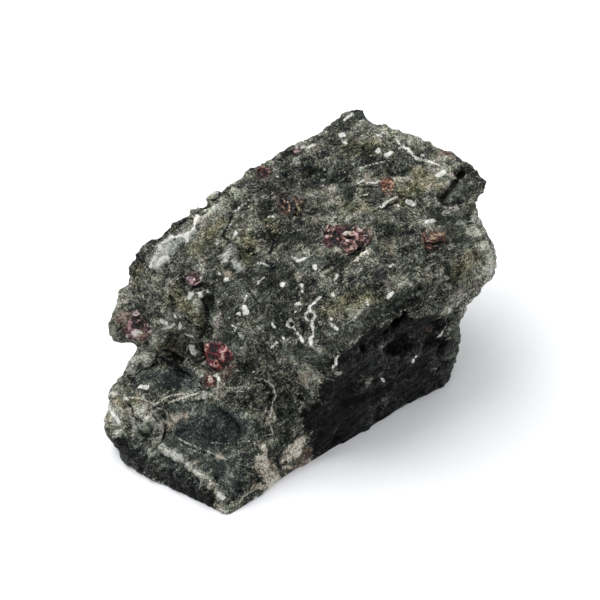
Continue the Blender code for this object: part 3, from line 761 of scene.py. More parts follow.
# %% Strokes with a height
# name: (height in mm, half width in mm, points in pixels)
RELIEFS = {
    "far_end_crevice": (-0.9, 0.6, [(442, 199), (446, 192), (453, 186), (458, 178), (465, 170)]),
    "far_end_fill": (0.7, 1.0, [(437, 203), (446, 206), (457, 200)]),
    "cleft_slot": (0.8, 0.9, [(156, 342), (166, 338), (177, 336), (187, 340), (194, 350)]),
    "cleft_corner": (-0.8, 0.6, [(175, 355), (182, 364), (190, 375)]),
    "trench": (-0.35, 0.8, [(208, 284), (211, 300), (206, 320), (203, 334)]),
    "shelf": (-0.6, 0.6, [(335, 178), (345, 180), (357, 176)]),
    "under_centre_garnet": (-0.7, 0.5, [(349, 258), (354, 254), (360, 248), (366, 243)]),
    "under_right_garnet": (-0.6, 0.45, [(426, 251), (436, 249), (446, 243)]),
    "edge_shave": (-0.9, 1.0, [(196, 209), (204, 203), (212, 198)]),
    "edge_shave_low": (-0.5, 0.8, [(160, 238), (172, 230), (186, 220)]),
    "peak_shave": (-0.5, 0.7, [(332, 118), (341, 114)]),
    "lobe_push": (1.0, 1.2, [(484, 248), (488, 260), (486, 274)]),
    "knob_push": (0.6, 0.9, [(473, 210), (475, 220)]),
    "foot_left_push": (0.6, 1.0, [(108, 420), (110, 432), (118, 446)]),
    "neck_push": (0.7, 1.4, [(450, 320), (453, 335), (449, 355), (445, 370)]),
    "crest_fill": (0.9, 0.8, [(297, 163), (302, 166), (307, 168)]),
    "foot_end_lump": (0.4, 1.1, [(118, 404), (134, 412), (146, 426)]),
    "foot_end_rim": (-0.35, 0.5, [(160, 410), (167, 422), (166, 434), (158, 447)]),
    "front_dish": (-0.4, 1.6, [(182, 432), (205, 436), (228, 440)]),
    "knuckle_rise": (0.5, 0.9, [(134, 360), (146, 355)]),
    "knuckle_edge": (-0.6, 0.5, [(150, 366), (160, 362), (172, 366), (184, 374)]),
    "slope_step": (-0.5, 0.5, [(232, 296), (240, 318), (246, 340), (252, 360)]),
    "slope_step_far": (-0.4, 0.5, [(276, 300), (284, 322), (300, 346)]),
    "top_step": (-0.5, 0.5, [(262, 206), (290, 214), (318, 212), (345, 205)]),
    "top_step_far": (-0.4, 0.5, [(345, 168), (372, 176), (396, 172)]),
    "shoulder_step": (-0.5, 0.5, [(166, 262), (186, 268), (206, 262), (224, 248)]),
    "wall_hollow_high": (-1.5, 0.9, [(400, 324), (408, 319), (416, 314)]),
    "wall_hollow_low": (-1.1, 0.9, [(387, 352), (395, 347), (403, 342)]),
    "wall_hollow_right": (-0.8, 0.7, [(428, 343), (435, 338)]),
    "wall_lump": (0.7, 0.8, [(398, 362), (407, 358), (414, 352)]),
    "wall_lump_low": (0.6, 0.9, [(350, 392), (358, 390), (364, 384)]),
    "wall_lump_left": (0.5, 0.8, [(330, 372), (338, 366)]),
    "wall_step": (-0.6, 0.7, [(366, 350), (380, 338), (396, 324)]),
    "wall_step_low": (-0.5, 0.6, [(345, 402), (365, 396), (388, 388)]),
    "wall_pit": (-0.7, 0.35, [(377, 409), (380, 408)]),
    "wall_pit_left": (-0.6, 0.5, [(337, 395), (342, 390)]),
    "wall_knob_dent": (-0.5, 0.6, [(352, 380), (358, 377)]),
    "wall_top_edge": (-0.6, 1.3, [(352, 350), (370, 333), (390, 318), (410, 305), (430, 298)]),
    "neck_edge": (0.5, 0.7, [(444, 318), (441, 330), (434, 345), (430, 360)]),
    "front_ridge": (0.8, 0.6, [(161, 448), (172, 452), (182, 459), (190, 466), (206, 478), (216, 490)]),
    "facet_ridge": (0.45, 0.7, [(268, 384), (276, 394), (270, 412), (270, 432), (262, 446)]),
    "front_vein_rise": (0.22, 0.20, [(154, 405), (166, 398), (176, 396), (186, 397), (206, 392)]),
    "upper_vein_rise": (0.12, 0.2, [(224, 396), (227, 391), (245, 391), (261, 384)]),
    "front_crevice_shade": (-0.5, 0.2, [(220, 409), (226, 414), (232, 418), (239, 427)]),
    "front_dent": (-0.5, 0.9, [(232, 402), (244, 404)]),
    "ring_pit_big": (-0.8, 0.30, [(310, 316), (311, 316)]),
    "ring_pit_small": (-0.7, 0.24, [(290, 324), (291, 324)]),
    "left_edge_dent": (-0.5, 0.6, [(146, 322), (150, 330)]),
    "foot_end_pits": (-0.5, 0.5, [(138, 432), (146, 436), (152, 432)]),
    "shoulder_pit": (-0.6, 0.5, [(196, 286), (204, 282), (212, 286)]),
    "foot_garnet_pit": (-0.5, 0.4, [(300, 463), (306, 466)]),
    "crust_rise": (0.22, 0.8, [(266, 457), (266, 466), (270, 474), (262, 482)]),
    "crust_rise_right": (0.2, 0.7, [(284, 447), (291, 440), (299, 436)]),
    "under_top_edge": (-0.5, 0.5, [(180, 222), (200, 207), (225, 188)]),
}
print(len(RELIEFS), "strokes with a height")

# %% [markdown]
# ### From the picture to the stone
#
# A ray from the camera through a pixel meets the stone at one place. A stroke is cut into steps of
# about a pixel, each step is sent down its ray, and the places it hits are kept. Strokes are sent
# onto the stone as it is before their own relief is pressed in.

# %% Drop the strokes onto the stone
STEP = 0.8  # pixels between two rays of a stroke
view_right, view_up, view_back = (camera.matrix_world.to_3x3() @ Vector(axis) for axis in
                                  ((1, 0, 0), (0, 1, 0), (0, 0, 1)))
PIXEL = SENSOR / LENS / IMAGE_SIZE  # sideways step of a ray at distance 1, for one pixel


def seen(tree, pixel):
    """The place in mm on the tree's surface that the camera sees at a pixel, or None."""
    across, down = pixel[0] - IMAGE_SIZE / 2, pixel[1] - IMAGE_SIZE / 2
    ray = -view_back + (view_right * across - view_up * down) * PIXEL
    return tree.ray_cast(eye / MM, ray.normalized())[0]


def along(corners, step):
    """Points along a run of corners, a step apart."""
    for first, second in zip(corners, corners[1:]):
        length = math.dist(first, second)
        for index in range(max(1, round(length / step))):
            share = index * step / length if length else 0
            yield [a + (b - a) * share for a, b in zip(first, second)]
    yield corners[-1]


def dropped(tree, pixels):
    hits = [seen(tree, pixel) for pixel in along(pixels, STEP)]
    return [hit for hit in hits if hit is not None]


stone_tree = tree_of(stone)
marks = {
    kind: [(dropped(stone_tree, pixels), half) for half, pixels in strokes.values()]
    for kind, strokes in STROKES.items()
}
reliefs = [(dropped(stone_tree, pixels), half, height) for height, half, pixels in RELIEFS.values()]
print("front marks dropped:", sum(len(places) for kind in marks.values() for places, _ in kind))

# %% [markdown]
# ### Shards of the garnets
#
# The broken garnets are laid out in the same way. A stroke says how a shard looks, from -1 for
# clear and deep, through 0 for left to chance, to 1 for frosted white by fractures. Crevices, gaps
# and dark lines go past -1, nearly black, as painted shade; the small bright shards named glint
# are painted highlights.

# %% Strokes on the garnets
# name: (look, half width in mm, points in pixels)
SHARDS = {
    "centre_roof": (-0.5, 0.45, [(342, 226), (348, 224), (354, 228)]),
    "centre_red": (-0.1, 0.35, [(344, 231), (349, 229), (353, 232)]),
    "centre_glint": (1.5, 0.12, [(353, 228), (353, 229)]),
    "centre_cream": (1.3, 0.36, [(346, 234), (352, 234), (358, 232), (360, 230)]),
    "centre_cream_low": (1.0, 0.25, [(357, 236), (355, 242)]),
    "centre_line": (-1.6, 0.15, [(346, 237), (353, 238)]),
    "centre_tan": (0.5, 0.42, [(344, 242), (350, 242), (354, 244)]),
    "centre_tan_spot": (1.3, 0.16, [(347, 241), (348, 242)]),
    "centre_purple": (-1.0, 0.55, [(327, 241), (333, 243), (342, 243)]),
    "centre_purple_glint": (1.3, 0.14, [(337, 239), (338, 240)]),
    "centre_grey": (0.25, 0.40, [(329, 228), (335, 228)]),
    "centre_left_line": (-1.4, 0.16, [(323, 233), (329, 233), (335, 233)]),
    "centre_left_pink": (0.7, 0.25, [(322, 237), (328, 237), (333, 236)]),
    "centre_crevice": (-2.0, 0.36, [(358, 241), (362, 245), (360, 250), (357, 254)]),
    "centre_low": (0.35, 0.45, [(340, 250), (347, 251), (352, 249)]),
    "centre_right": (-0.7, 0.35, [(363, 229), (366, 233)]),
    "centre_right_lilac": (1.1, 0.18, [(365, 236), (367, 236)]),
    "front_red": (-0.4, 0.50, [(213, 346), (216, 350), (217, 355)]),
    "front_dark": (-0.8, 0.24, [(210, 346), (211, 351)]),
    "front_upper_left": (0.3, 0.22, [(205, 345), (206, 350)]),
    "front_arch": (0.55, 0.20, [(208, 345), (214, 343), (221, 344)]),
    "front_crumbs": (0.5, 0.55, [(222, 349), (225, 355), (224, 359)]),
    "front_crimson": (-0.2, 0.45, [(212, 361), (217, 361), (223, 363)]),
    "front_crimson_pink": (0.8, 0.14, [(216, 361), (217, 361)]),
    "front_brown": (-1.0, 0.28, [(208, 355), (212, 358)]),
    "front_left": (0.15, 0.40, [(201, 361), (207, 362)]),
    # A painted highlight.
    "front_left_glint": (0.9, 0.14, [(202, 360), (203, 360)]),
    "front_edge": (0.5, 0.18, [(212, 366), (216, 366), (221, 366)]),
    "front_right_edge": (-0.7, 0.24, [(226, 350), (228, 357), (226, 364)]),
    "front_low_edge": (-0.8, 0.24, [(206, 365), (211, 368)]),
    "lower_crevice_shade": (-2.0, 0.20, [(199, 374), (206, 373), (214, 375)]),
    "lower_rust": (-0.4, 0.45, [(203, 378), (204, 386)]),
    "lower_dark": (-1.4, 0.16, [(202, 376), (203, 384)]),
    "lower_glint": (1.6, 0.28, [(210, 378), (211, 381)]),
    "left_oval": (0.6, 0.55, [(133, 308), (136, 313)]),
    "left_gap": (-1.2, 0.26, [(133, 318), (138, 318)]),
    "left_glint": (1.7, 0.16, [(139, 320), (137, 322)]),
    "left_red": (-1.0, 0.34, [(133, 326), (138, 327), (141, 325)]),
    "left_low_oval": (0.7, 0.60, [(135, 334), (140, 336)]),
    "left_low_glint": (1.5, 0.14, [(136, 335), (136, 335)]),
    "left_foot": (-1.3, 0.40, [(134, 342), (140, 343), (146, 344)]),
    "upper_pit": (-1.3, 0.75, [(284, 194), (288, 202), (294, 210)]),
    "upper_tan": (2.2, 0.16, [(288, 202), (290, 208), (289, 212)]),
    "upper_tan_left": (1.9, 0.14, [(283, 198), (285, 203)]),
    "upper_tan_right": (1.2, 0.16, [(297, 205), (299, 210)]),
    "right_orange": (0.4, 0.40, [(430, 237), (437, 239)]),
    "right_glint": (1.4, 0.14, [(434, 235), (435, 235)]),
    "right_dark": (-1.4, 0.30, [(426, 244), (434, 246), (443, 244)]),
    "right_dark_top": (-1.0, 0.25, [(425, 232), (430, 231)]),
    "ridge_red": (-0.6, 0.9, [(184, 275), (190, 279), (196, 281)]),
    "ridge_glint": (1.4, 0.13, [(187, 278), (188, 279)]),
    "ridge_glint_right": (1.4, 0.13, [(194, 279), (195, 280)]),
    "back_edge_red": (-0.9, 0.50, [(256, 172), (261, 178)]),
    "crest_red": (-0.4, 0.50, [(287, 150), (292, 150)]),
}
MOST_LOOK = 1.2
SHARD_RISE = 0.20  # mm that a frosted shard stands above the middle, and a deep one lies below it

shard_paths = [(dropped(garnet_tree, pixels), half, look) for look, half, pixels in SHARDS.values()]
for piece in garnets:
    places = read(piece)
    near, looks = finder(places), np.zeros(len(places))
    for path, half, look in shard_paths:
        strength = np.zeros(len(places))
        for place in path:
            for _, row, distance in near.find_range(place, 1.5 * half):
                strength[row] = max(strength[row], min(3 - 2 * distance / half, 1))
        looks += look * strength
    looks = np.clip(looks, -MOST_LOOK, MOST_LOOK)
    store(piece, "shard", looks)
    write(piece, places + SHARD_RISE * looks[:, None] * read(piece, "normal"))
print(len(SHARDS), "shards")

# %% [markdown]
# ### The sides that the camera doesn't see
#
# The back, the far end and the left side carry the same kinds of marks, set out by chance with a
# fixed seed. A mark there starts at a chance point of the stone and wanders over the surface: a
# short step in a slowly turning direction, then back down to the nearest place on the stone.

# %% Wandering marks for the hidden sides
HIDDEN_SEED = 7
# kind: how many, half width in mm, length in mm
HIDDEN = {
    "calcite": [(46, (0.18, 0.45), (0.1, 0.9)), (9, (0.12, 0.24), (2.0, 7.0))],
    "vein": [(7, (0.05, 0.12), (5.0, 12.0))],
    "crevice_shade": [(16, (0.10, 0.25), (2.0, 7.0))],
    "crust": [(3, (0.5, 0.9), (1.5, 4.0))],
    "tan": [(8, (0.3, 0.7), (0.3, 1.5))],
    "blush": [(8, (0.3, 0.8), (0.3, 1.5))],
    "olive": [(12, (0.9, 2.0), (1.0, 5.0))],
    "pale": [(12, (0.8, 2.0), (1.0, 6.0))],
    "black": [(9, (0.4, 0.9), (6.0, 15.0))],
    "shade": [(22, (0.9, 2.4), (2.0, 9.0))],
    "milky": [(7, (0.3, 0.9), (0.3, 1.8))],
    "slate": [(7, (0.9, 1.8), (4.0, 10.0))],
}
WANDER_STEP = 0.15
TURNED_AWAY = -0.25  # how far a hidden mark's place must face away from the camera


def wander(tree, place, length, chance):
    """Places along a mark that wanders over the surface from a place."""
    way = Vector([chance.gauss(0, 1) for _ in range(3)]).normalized()
    found = [place]
    for _ in range(round(length / WANDER_STEP)):
        way = (way + 0.25 * Vector([chance.gauss(0, 1) for _ in range(3)])).normalized()
        place, normal, _, _ = tree.find_nearest(place + way * WANDER_STEP)
        way = (way - way.dot(normal) * normal).normalized()
        if view_back.dot(normal) > TURNED_AWAY:
            break
        found.append(place)
    return found


def hidden_starts(tree, places, normals, chance):
    """Chance points of the stone that the camera can't see, and that stand clear of the table."""
    while True:
        row = chance.randrange(len(places))
        if places[row][2] > 1 and view_back.dot(normals[row]) < TURNED_AWAY:
            yield Vector(places[row])


chance = random.Random(HIDDEN_SEED)
places, normals = read(stone), read(stone, "normal")
starts = hidden_starts(stone_tree, places, normals, chance)
for kind, groups in HIDDEN.items():
    for count, halves, lengths in groups:
        for _ in range(count):
            path = wander(stone_tree, next(starts), chance.uniform(*lengths), chance)
            marks[kind].append((path, chance.uniform(*halves)))
print("with hidden sides:", sum(len(places) for kind in marks.values() for places, _ in kind))

# %% [markdown]
# ### Distances and relief
#
# For each kind of mark every point of the mesh gets its distance to the edge of the nearest mark,
# less than nothing inside it. It is found from the marks' side: each place on a mark looks up the
# points near it, which is much faster than asking for each point which mark is nearest.

# %% Distance to the marks
REACH = 1.3  # mm beyond a mark's edge where its distance stops counting
WOBBLE = 0.9  # how raggedly a relief ends


def distance_to(marks_of_kind, near, count):
    """Each point's distance in mm to the edge of the nearest mark, up to REACH."""
    field = np.full(count, REACH)
    for path, half in marks_of_kind:
        for place in path:
            for _, row, distance in near.find_range(place, half + REACH):
                field[row] = min(field[row], distance - half)
    return field


near = finder(places)
wobble = [1 + WOBBLE * noise.noise(Vector(place) / 0.9) for place in places]
shift = np.zeros(len(places))
for path, half, height in reliefs:
    push = np.zeros(len(places))
    for place in path:
        for _, row, distance in near.find_range(place, 2 * half):
            push[row] = max(push[row], 1 - (distance / (2 * half) * wobble[row]) ** 2)
    shift += height * push**2
fields = {kind: distance_to(paths, near, len(places)) for kind, paths in marks.items()}

# %% Press the relief in
RAISED = {"calcite": 0.04, "vein": 0.08, "crust": 0.10}  # mm that these minerals stand proud

for kind, height in RAISED.items():
    shift += height * np.clip(0.5 - fields[kind] / 0.2, 0, 1)
settled = np.clip(places[:, 2] / BASE_FADE, 0, 1) * np.clip(to_garnet / 0.6, 0, 1)
low, high = (np.array(corner) / MM for corner in CAD_BOX)
places = np.clip(places + normals * (shift * settled)[:, None], low, high)
write(stone, places)
for kind, field in fields.items():
    store(stone, kind, field)
store(stone, "to_garnet", np.minimum(to_garnet, 3))
stone_tree = tree_of(stone)
for piece in garnets:
    to_rock = [stone_tree.find_nearest(Vector(place))[3] for place in read(piece)]
    store(piece, "to_rock", np.minimum(to_rock, 3))
print("relief from", round(shift.min(), 2), "to", round(shift.max(), 2), "mm")

# %% [markdown]
# ### Hollows
#
# Hollows are painted darker, as painted shade, and raised points a little paler. A point that lies
# below the middle of its neighbours is in a hollow. The difference, spread over a few rounds of
# neighbours, is kept as one more number for the material.

# %% Hollows and edges
HOLLOW_ROUNDS = 10


def hollowness(piece, rounds):
    """How far each point lies under the middle of its surroundings, in mm."""
    places, normals = read(piece), read(piece, "normal")
    ends = np.empty(2 * len(piece.data.edges), np.int32)
    piece.data.edges.foreach_get("vertices", ends)
    first, second = ends.reshape(-1, 2).T
    count = np.bincount(ends, minlength=len(places))[:, None]
    middle = places.copy()
    for _ in range(rounds):
        total = np.zeros_like(middle)
        np.add.at(total, first, middle[second])
        np.add.at(total, second, middle[first])
        middle = total / count
    return ((middle - places) * normals).sum(axis=1)


hollows = hollowness(stone, HOLLOW_ROUNDS)
store(stone, "hollow", hollows)
STONE_EDGE = math.radians(38)
only(stone)
bpy.ops.object.shade_smooth_by_angle(angle=STONE_EDGE)
print("hollows from", round(hollows.min(), 2), "to", round(hollows.max(), 2), "mm")

# %% [markdown]
# ## Serpentinised peridotite
#
# Olivine that took up water turns to serpentine, a felt of fibres a fraction of a millimetre long,
# in grey-green to nearly black, so the surface is matt with a slight waxy gleam. The felt is drawn
# with noise that is stretched along one direction, and the direction changes from one small domain
# to the next: the domains come from a cell pattern whose chance colours serve as angles. Two felts
# of different size, with fine grain, are added up, and a colour ramp turns the sum into rock.

# %% Helpers for patterns


def mix_sum(tree, *parts):
    """Adds up outputs, each with its weight."""
    total = 0.0
    for output, weight in parts:
        total = add(tree, "Math", {"operation": "MULTIPLY_ADD"}, in0=output, in1=weight,
                    in2=total).outputs["Value"]
    return total


def mix_even(tree, *parts):
    """Adds up patterns that are 0.5 on average, each with its weight, into one that is 0.5 as well."""
    return mix_sum(tree, *parts, (0.5 - 0.5 * sum(weight for _, weight in parts), 1.0))


def ramp(tree, value, *stops):
    """A colour ramp of (position, hex colour) stops."""
    node = add(tree, "ValToRGB", fac=value)
    elements = node.color_ramp.elements
    while len(elements) < len(stops):
        elements.new(0.5)
    for element, (position, colour) in zip(elements, stops):
        element.position = position
        element.color = linear(colour)
    return node.outputs["Color"]


def within(tree, value, full, none):
    """1 where a value is at or past full, 0 at none, and smooth between."""
    node = add(tree, "MapRange", {"interpolation_type": "SMOOTHSTEP"}, value=value, from_min=none,
               from_max=full)
    return node.outputs["Result"]


def blend(tree, mask, under, over, mode="MIX"):
    """Colour over colour where the mask is 1. A mask or a colour can be a value or an output."""
    node = add(tree, "MixRGB", {"blend_type": mode}, fac=mask, color1=under, color2=over)
    return node.outputs["Color"]


def grains(tree, place, size, detail=2.0, roughness=0.5):
    """Noise with its largest grains this many mm across, or this size along each axis."""
    if not isinstance(size, tuple):
        size = (size, size, size)
    drawn = add(tree, "VectorMath", {"operation": "DIVIDE"}, in0=place, in1=size)
    return add(tree, "TexNoise", vector=drawn.outputs["Vector"], scale=1.0, detail=detail,
               roughness=roughness).outputs["Fac"]


THREAD = 0.12


def ridges(tree, pattern, width):
    """1 along the lines where a pattern is 0.5, and 0 where it is further from that than a width."""
    level = add(tree, "Math", {"operation": "SUBTRACT"}, in0=pattern, in1=0.5).outputs["Value"]
    away = add(tree, "Math", {"operation": "ABSOLUTE"}, in0=level).outputs["Value"]
    return within(tree, away, 0.0, width)


def felt(tree, place, domain, length, width, seed):
    """Streaky noise, in domains of one size in mm, of fibres of this length and width in mm."""
    moved = add(tree, "VectorMath", in0=place, in1=(seed, 2 * seed, 3 * seed)).outputs["Vector"]
    domains = add(tree, "TexVoronoi", vector=moved, scale=1 / domain).outputs["Color"]
    angles = add(tree, "VectorMath", {"operation": "SCALE"}, in0=domains, scale=2 * math.pi)
    turned = add(tree, "VectorRotate", {"rotation_type": "EULER_XYZ"}, vector=moved,
                 rotation=angles.outputs["Vector"])
    drawn = grains(tree, turned.outputs["Vector"], (length, width, width), 1.0, 0.4)
    return ridges(tree, drawn, THREAD)


# %% Patterns of the peridotite
rock, tree, output = new_material("serpentinised_peridotite")
metres = add(tree, "TexCoord").outputs["Object"]
place = add(tree, "VectorMath", {"operation": "SCALE"}, in0=metres, scale=1 / MM).outputs["Vector"]
stir = add(tree, "TexNoise", vector=place, scale=1 / 2.5, detail=3.0).outputs["Color"]
stirred = add(tree, "VectorMath", {"operation": "MULTIPLY_ADD"}, in0=stir, in1=(1.2,) * 3,
              in2=place).outputs["Vector"]

grit = grains(tree, place, 0.30, 3.0, 0.7)
speckle = grains(tree, stirred, 0.9, 4.0, 0.7)
long_felt = felt(tree, stirred, 3.0, 2.4, 0.42, 3.1)
short_felt = felt(tree, stirred, 1.4, 1.3, 0.28, 11.7)
cross_felt = felt(tree, stirred, 1.9, 1.6, 0.34, 23.9)
streaks = grains(tree, stirred, (4.0, 0.6, 0.6), 4.0, 0.65)
patch = grains(tree, stirred, 5.5, 5.0, 0.6)
zone = grains(tree, place, 14.0, 2.0, 0.5)
drips = grains(tree, stirred, (0.5, 0.5, 2.4), 2.0, 0.5)
fleck = grains(tree, stirred, (0.9, 0.5, 0.5), 1.0, 0.5)
hair = ridges(tree, grains(tree, stirred, 3.2, 3.0, 0.55), 0.014)
tint = add(tree, "TexNoise", vector=place, scale=1 / 1.3, detail=3.0).outputs["Color"]

# %% Where each mark covers the rock
EVEN = 0.5  # what a fray adds on average
thin_fray = mix_even(tree, (grit, 0.25), (speckle, 0.35))
crisp_fray = mix_even(tree, (grit, 0.7), (speckle, 0.9))
soft_fray = mix_even(tree, (grit, 2.0), (speckle, 2.5), (streaks, 3.0), (patch, 1.5))
wide_fray = mix_even(tree, (grit, 1.5), (speckle, 2.0), (streaks, 3.0), (patch, 5.0))
frays = {"vein": thin_fray, "crevice_shade": thin_fray, "calcite": crisp_fray, "to_garnet": crisp_fray, "black": wide_fray,
         "crust": crisp_fray}
mark = {}
for kind in (*STROKES, "to_garnet"):
    distance = add(tree, "Attribute", {"attribute_name": kind}).outputs["Fac"]
    mark[kind] = mix_sum(tree, (distance, 1.0), (frays.get(kind, soft_fray), 1.0))
mark["crust"] = mix_sum(tree, (mark["crust"], 1.0), (drips, 2.4), (-1.2, 1.0))
hollow = add(tree, "Attribute", {"attribute_name": "hollow"}).outputs["Fac"]
chip = add(tree, "Attribute", {"attribute_name": "chip"}).outputs["Fac"]
covers = {
    "calcite": within(tree, mark["calcite"], EVEN - 0.10, EVEN + 0.04),
    "milky": within(tree, mark["milky"], EVEN - 0.40, EVEN + 0.15),
    "vein": within(tree, mark["vein"], EVEN + 0.00, EVEN + 0.13),
    "crevice_shade": within(tree, mark["crevice_shade"], EVEN + 0.00, EVEN + 0.15),
    "crust": within(tree, mark["crust"], EVEN - 0.15, EVEN + 0.05),
    "tan": within(tree, mark["tan"], EVEN - 0.45, EVEN + 0.35),
    "blush": within(tree, mark["blush"], EVEN - 0.45, EVEN + 0.35),
    "olive": within(tree, mark["olive"], EVEN - 1.2, EVEN + 1.0),
    "pale": within(tree, mark["pale"], EVEN - 0.9, EVEN + 0.7),
    "shade": within(tree, mark["shade"], EVEN - 0.7, EVEN + 0.8),
    "black": within(tree, mark["black"], EVEN - 0.4, EVEN + 0.8),
    "slate": within(tree, mark["slate"], EVEN - 0.7, EVEN + 0.9),
    "to_garnet": within(tree, mark["to_garnet"], EVEN + 0.10, EVEN + 0.50),
}

# %% Colours of the peridotite
tone = mix_even(tree, (grit, 0.64), (speckle, 0.25), (chip, 0.32), (streaks, 0.50), (patch, 0.8),
                (zone, 0.65))
# hollow darkens hollows as painted shade and lightens raised points.
tone = mix_sum(tree, (tone, 1.0), (long_felt, 0.18), (short_felt, 0.14), (cross_felt, 0.16),
               (covers["pale"], 0.09), (covers["olive"], 0.03), (hollow, -0.30), (-0.176, 1.0))
green = ramp(tree, tone, (0.18, "#070909"), (0.34, "#202322"), (0.48, "#41433c"), (0.62, "#6a6b5e"),
             (0.76, "#939386"), (0.92, "#ccccc0"))
black = ramp(tree, tone, (0.28, "#010101"), (0.44, "#060707"), (0.56, "#101211"), (0.68, "#232523"),
             (0.85, "#4c4e49"))
slate = ramp(tree, tone, (0.18, "#0a0d0d"), (0.42, "#262c2b"), (0.60, "#434945"), (0.76, "#676c64"),
             (0.92, "#a9ada1"))
buff = ramp(tree, tone, (0.20, "#474138"), (0.45, "#898072"), (0.75, "#c6bdac"))
blush = ramp(tree, tone, (0.25, "#1a1311"), (0.50, "#5d4c44"), (0.78, "#a99c90"))
rim = ramp(tree, tone, (0.28, "#14110f"), (0.50, "#544a42"), (0.75, "#b8ab9c"))
milk = ramp(tree, tone, (0.22, "#565854"), (0.46, "#92958e"), (0.75, "#cfcfc6"))
crusty = ramp(tree, tone, (0.24, "#4a4239"), (0.43, "#a09686"), (0.66, "#dcd6c8"))
vein = ramp(tree, tone, (0.25, "#76726a"), (0.50, "#b2aea2"), (0.75, "#d6d2c6"))
chalk = ramp(tree, tone, (0.18, "#8f8f87"), (0.42, "#cfcec5"), (0.66, "#ecebe4"))

hairy = add(tree, "Math", {"operation": "MULTIPLY"}, in0=hair, in1=within(tree, streaks, 0.62, 0.45))
colour = blend(tree, within(tree, fleck, 0.75, 0.70), green, linear("#c2c2b6"))
colour = blend(tree, hairy.outputs["Value"], colour, linear("#a9a99c"))
colour = blend(tree, 0.18, colour, tint, "OVERLAY")
# The shade marks multiply the colour darker: painted shade on the seen sides, darker rock at random on the hidden
# ones. The olive marks multiply in a real stain.
for kind, tint_and_shade in (("shade", "#a4aaa8"), ("olive", "#f4eed6")):
    colour = blend(tree, covers[kind], colour, blend(tree, 1.0, colour, linear(tint_and_shade), "MULTIPLY"))
# The crevice and crack marks take the black ramp as painted shade.
for kind, mineral in (("slate", slate), ("black", black), ("crevice_shade", black), ("tan", buff), ("blush", blush), ("to_garnet", rim), ("milky", milk),
                      ("crust", crusty), ("vein", vein), ("calcite", chalk)):
    colour = blend(tree, covers[kind], colour, mineral)

# %% Peridotite material
gleam = mix_sum(tree, (covers["black"], -0.20), (patch, 0.25), (0.55, 1.0))
height = mix_sum(tree, (grit, 0.4), (long_felt, 0.12), (short_felt, 0.12), (cross_felt, 0.12),
                 (speckle, 0.5), (streaks, 0.3))
bump = add(tree, "Bump", height=height, strength=1.0, distance=0.35 * MM)
shader = add(tree, "BsdfPrincipled", base_color=colour, roughness=gleam, normal=bump.outputs["Normal"])
shader.inputs["IOR"].default_value = 1.55
shader.inputs["Specular IOR Level"].default_value = 0.07
tree.links.new(shader.outputs["BSDF"], output.inputs["Surface"])
stone.data.materials.append(rock)
print("peridotite:", len(tree.nodes), "nodes")

# %% [markdown]
# ## Pyrope
#
# Pyrope is a clear glassy garnet, wine red from iron and a little chromium. Where it is sound it
# passes light and looks deep. Where it is fractured inside it scatters, and looks pink or nearly
# white. Each chip of a garnet is given one of these states by the number it kept, with fine
# cracks drawn between. The refractive index of pyrope is about 1.74, but the reflection is held
# low, and the bright glints are painted highlights laid on as small frosted shards.

# %% Garnet materials
# name: deep, sound, fractured and frosted colour. The deep colour also paints crevices, gaps and fine cracks, as
# painted shade.
PYROPES = {
    "wine_garnet": ("#080305", "#40151b", "#70473f", "#d0c2b5"),
    "red_garnet": ("#0f0405", "#62131d", "#8a4643", "#cfb5a9"),
    "brown_garnet": ("#0a0403", "#47190f", "#7b4a3c", "#d4bcb2"),
    "black_garnet": ("#030102", "#12070a", "#2a1216", "#54393a"),
    "mauve_garnet": ("#12090b", "#533136", "#957b7a", "#d6cbc5"),
    "rust_garnet": ("#060403", "#2c1a12", "#6b5238", "#bfae94"),
    "orange_garnet": ("#140b08", "#5a3020", "#93705a", "#d0bfaa"),
}
DARKER = {"garnet_dark_wall": "black_garnet", "garnet_front_lower": "brown_garnet"}
CLEAR = 0.2
GARNET_IOR = 1.74


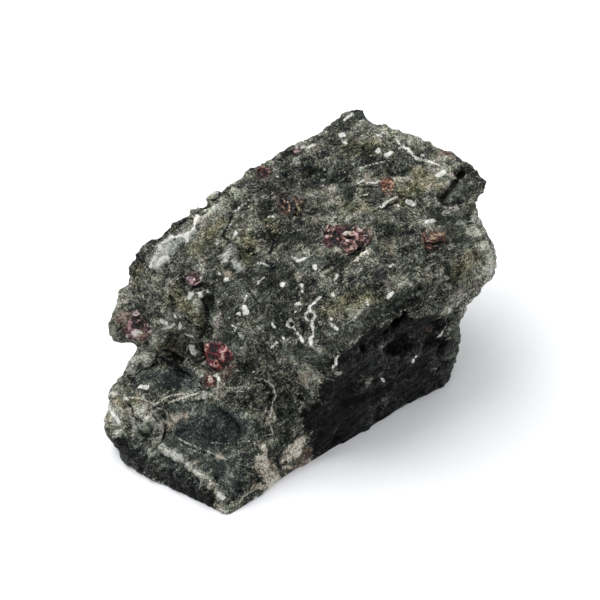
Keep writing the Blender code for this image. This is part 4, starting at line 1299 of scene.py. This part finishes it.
def pyrope(name, deep_and_crevice_shade, sound, fractured, frosted):
    material, tree, output = new_material(name)
    metres = add(tree, "TexCoord").outputs["Object"]
    place = add(tree, "VectorMath", {"operation": "SCALE"}, in0=metres, scale=1 / MM).outputs["Vector"]
    number = add(tree, "Attribute", {"attribute_name": "chip"}).outputs["Fac"]
    cloud = grains(tree, place, 1.8, 4.0, 0.6)
    crumb = grains(tree, place, 0.4, 3.0, 0.7)
    shard = add(tree, "Attribute", {"attribute_name": "shard"}).outputs["Fac"]
    to_rock = add(tree, "Attribute", {"attribute_name": "to_rock"}).outputs["Fac"]
    state = mix_even(tree, (number, 0.35), (cloud, 1.4), (crumb, 1.4))
    state = mix_sum(tree, (state, 1.0), (shard, 0.32), (-0.03, 1.0))
    colour = ramp(tree, state, (0.20, deep_and_crevice_shade), (0.42, sound), (0.60, fractured), (0.84, frosted))
    # Fine cracks are drawn in the darkest colour and sunk in the bump, as painted shade in their grooves.
    crevice_shade = ridges(tree, grains(tree, place, 1.6, 3.0, 0.5), 0.03)
    colour = blend(tree, crevice_shade, colour, linear(deep_and_crevice_shade))
    hue = add(tree, "TexNoise", vector=place, scale=1 / 1.5, detail=1.0).outputs["Color"]
    colour = blend(tree, 0.3, colour, hue, "OVERLAY")
    crust = mix_even(tree, (crumb, 1.2), (cloud, 1.0))
    crust = within(tree, mix_sum(tree, (to_rock, 1.0), (crust, 1.0)), 0.68, 0.93)
    kelyphite = ramp(tree, crumb, (0.30, "#14110f"), (0.50, "#4a423a"), (0.72, "#a79c8e"))
    colour = blend(tree, crust, colour, kelyphite)
    height = mix_sum(tree, (cloud, 0.2), (crumb, 0.25), (crevice_shade, -0.5))
    bump = add(tree, "Bump", height=height, strength=1.0, distance=0.2 * MM)
    rough = mix_sum(tree, (state, 0.5), (crust, 0.4), (0.05, 1.0))
    shader = add(tree, "BsdfPrincipled", base_color=colour, roughness=rough,
                 normal=bump.outputs["Normal"])
    shader.inputs["IOR"].default_value = GARNET_IOR
    shader.inputs["Specular IOR Level"].default_value = 0.08
    shader.inputs["Transmission Weight"].default_value = CLEAR
    tree.links.new(shader.outputs["BSDF"], output.inputs["Surface"])
    return material


pyropes = {name: pyrope(name, *colours) for name, colours in PYROPES.items()}
for piece, (node_name, kind) in zip(garnets, GARNETS.items()):
    piece.data.materials.append(pyropes[DARKER.get(node_name, kind)])
print(len(pyropes), "garnet materials")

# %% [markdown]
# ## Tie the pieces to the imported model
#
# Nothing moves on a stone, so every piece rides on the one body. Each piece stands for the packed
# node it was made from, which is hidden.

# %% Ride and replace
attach(stone, "root")
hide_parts("matrix")
for piece, (node_name, kind) in zip(garnets, GARNETS.items()):
    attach(piece, "root")
    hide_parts(node_name)

# %% Both boxes and finish
boxes = {"cad": CAD_BOX, "visual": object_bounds()}
{name: [list(corner) for corner in box] for name, box in boxes.items()}
print("visual, mm:", [round(side / MM, 1) for side in boxes["visual"][1] - boxes["visual"][0]])
